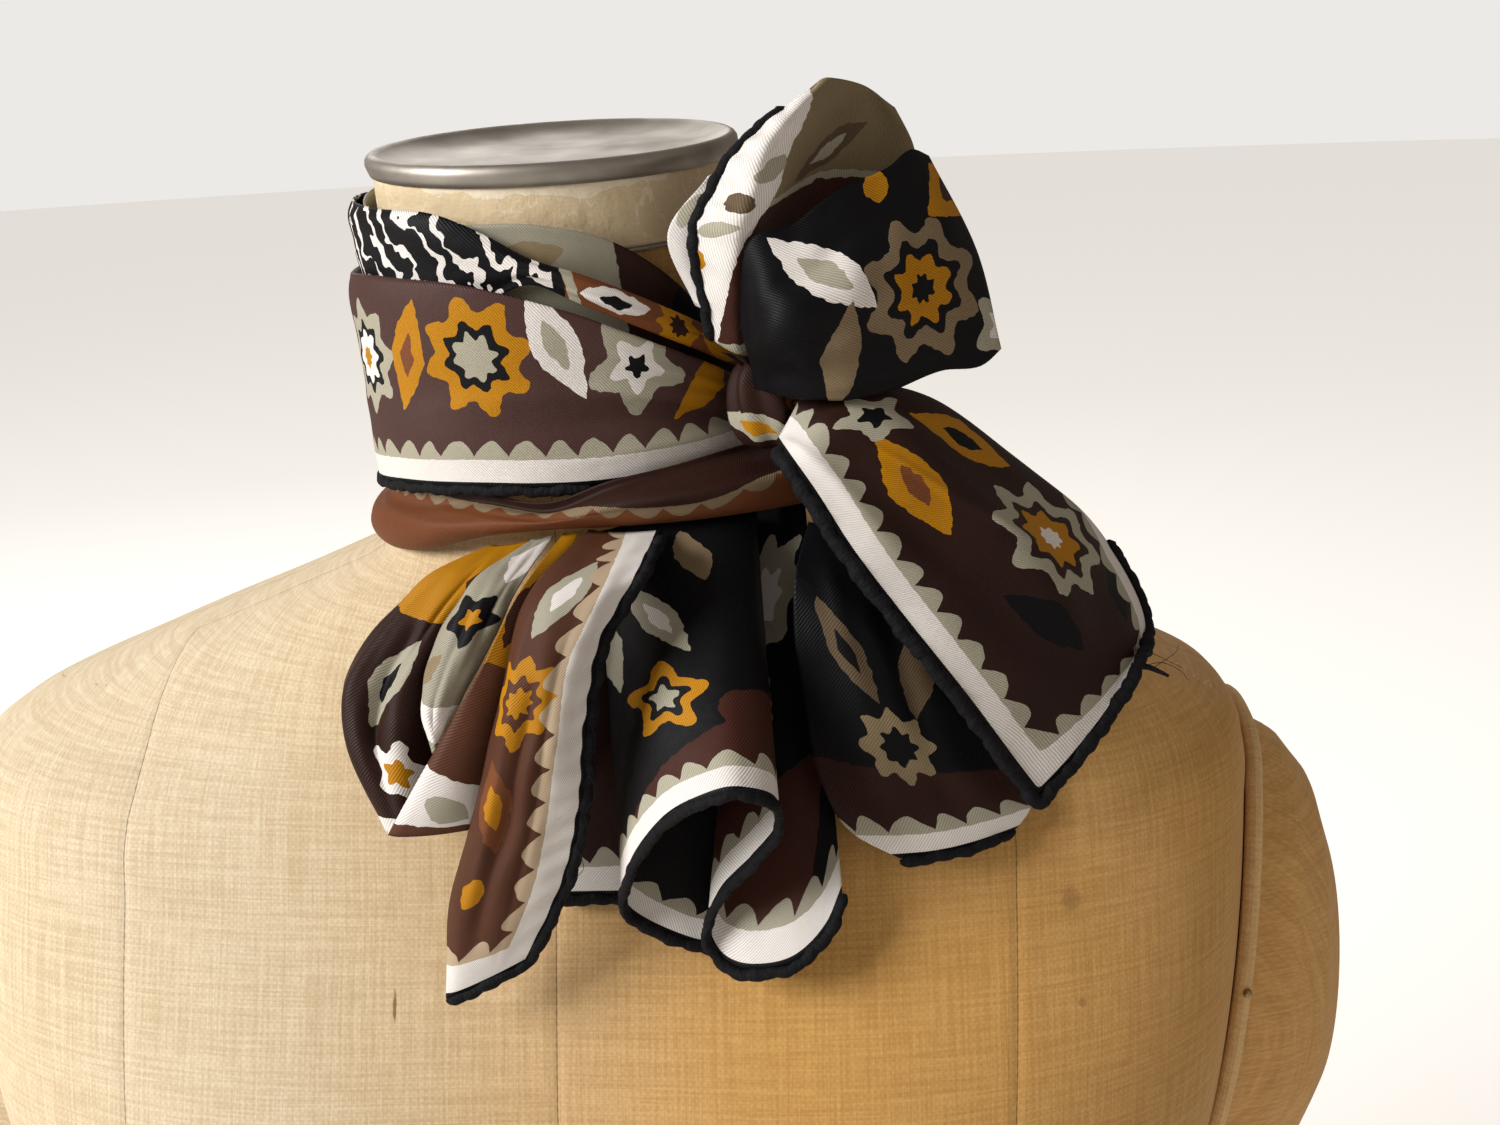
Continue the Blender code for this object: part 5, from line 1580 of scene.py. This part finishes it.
def loose_threads(name, paths, paint):
    """Fine tapered threads as one mesh. Each path is a radius and the points it runs through."""
    vertices, faces = [], []
    for radius, *stops in paths:
        rows = dict(zip(("run", "_x", "_y", "_z"), (np.arange(len(stops)), *np.array(stops, float).T)))
        at = np.linspace(0, len(stops) - 1, 7 * len(stops))
        line = curve(rows, "run", "", at)
        ahead = unit(np.gradient(line, axis=0))
        side = unit(np.cross(ahead, (0.31, 0.22, 0.93)))
        turn = np.linspace(0, 2 * math.pi, THREAD_SIDES, endpoint=False)
        taper = (radius * np.linspace(1.0, 0.45, len(at)))[:, None, None]
        rings = rings_round(line, side, np.cross(side, ahead), taper, turn)
        first = len(vertices)
        vertices.extend((rings.reshape(-1, 3) + (0.0, 0.0, CAP_HEIGHT)) * MM)
        for i in range(len(at) - 1):
            ring = first + THREAD_SIDES * i
            for k in range(THREAD_SIDES):
                a, b = ring + k, ring + (k + 1) % THREAD_SIDES
                faces.append((a, b, b + THREAD_SIDES, a + THREAD_SIDES))
        faces.append(tuple(range(first + THREAD_SIDES - 1, first - 1, -1)))
        faces.append(tuple(range(len(vertices) - THREAD_SIDES, len(vertices))))
    mesh = bpy.data.meshes.new(name)
    mesh.from_pydata([tuple(map(float, place)) for place in vertices], [], faces)
    mesh.shade_smooth()
    dress(add(name, mesh), paint)


def thread_material(name, first, second):
    """Dull thread in two tones."""
    made, tree, shader = new_material(name)
    tones = blend(tree, first, second, noise(tree, solid_place(tree), 700.0))
    wire(tree, shader, {"Base Color": tones, "Roughness": 0.8, "Specular IOR Level": 0.15})
    return made


corner = big_end[-1, -1]
hem_threads = [
    (1.1, corner + (-1, 0, 0), corner + (3, 0.5, -0.5), corner + (6.5, 1.0, -2.2), corner + (9, 1.2, -3.6)),
    (0.12, corner + (0, 0, 3), corner + (4, 0, 3.5), corner + (8, 0, 1.5), corner + (12.5, 0, -1.0)),
    (0.12, corner + (2, 0, 0), corner + (7, 0, 0.8), corner + (12, 0, -1.8), corner + (14, 0, -4.5)),
    (0.11, corner + (4, 0, -1), corner + (8, 0, 1.8), corner + (10.5, 0, 4.0), corner + (11.0, 0, 6.0)),
]
for start, bulge in ((46, 2.2), (57, 3.0), (66, 2.4), (75, 3.2), (85, 2.0)):
    from_edge, to_edge = pointed_fold[start, -1], pointed_fold[start + 8, -1]
    middle = 0.5 * (from_edge + to_edge) + (bulge, -1.2, 0.6)
    stops = (from_edge + (1.0, -1.2, 0), middle + (0, 0, 1.5), middle - (0, 0, 1.5), to_edge + (1.2, -1.4, 0))
    hem_threads.append((0.13, *stops))
black_thread = thread_material("black_thread", (0.003, 0.003, 0.004), (0.02, 0.019, 0.022))
loose_threads("loose_black_threads", hem_threads, black_thread)
FRAYED = (((-176, -4, -159.8), (-147, -30, -153.0), 16), ((178, -10, -161.2), (189, -16, -166.4), 12))
frays = []
for first_place, last_place, count in FRAYED:
    for i, share in enumerate(np.linspace(0, 1, count)):
        root_at = np.array(first_place) * (1 - share) + np.array(last_place) * share
        lean = np.array((math.sin(2.3 * i), 0.4 * math.cos(1.7 * i), 1.0))
        tall = 1.1 + 0.8 * abs(math.sin(3.1 * i + 0.5))
        tip = root_at + tall * lean * (1.5, 1.0, 0.9)
        frays.append((0.16, root_at - (0, 0, 0.8), root_at + 0.6 * tall * lean, tip))
frayed_thread = thread_material("frayed_linen_thread", (0.80, 0.68, 0.47), (0.60, 0.43, 0.22))
loose_threads("frayed_linen", frays, frayed_thread)
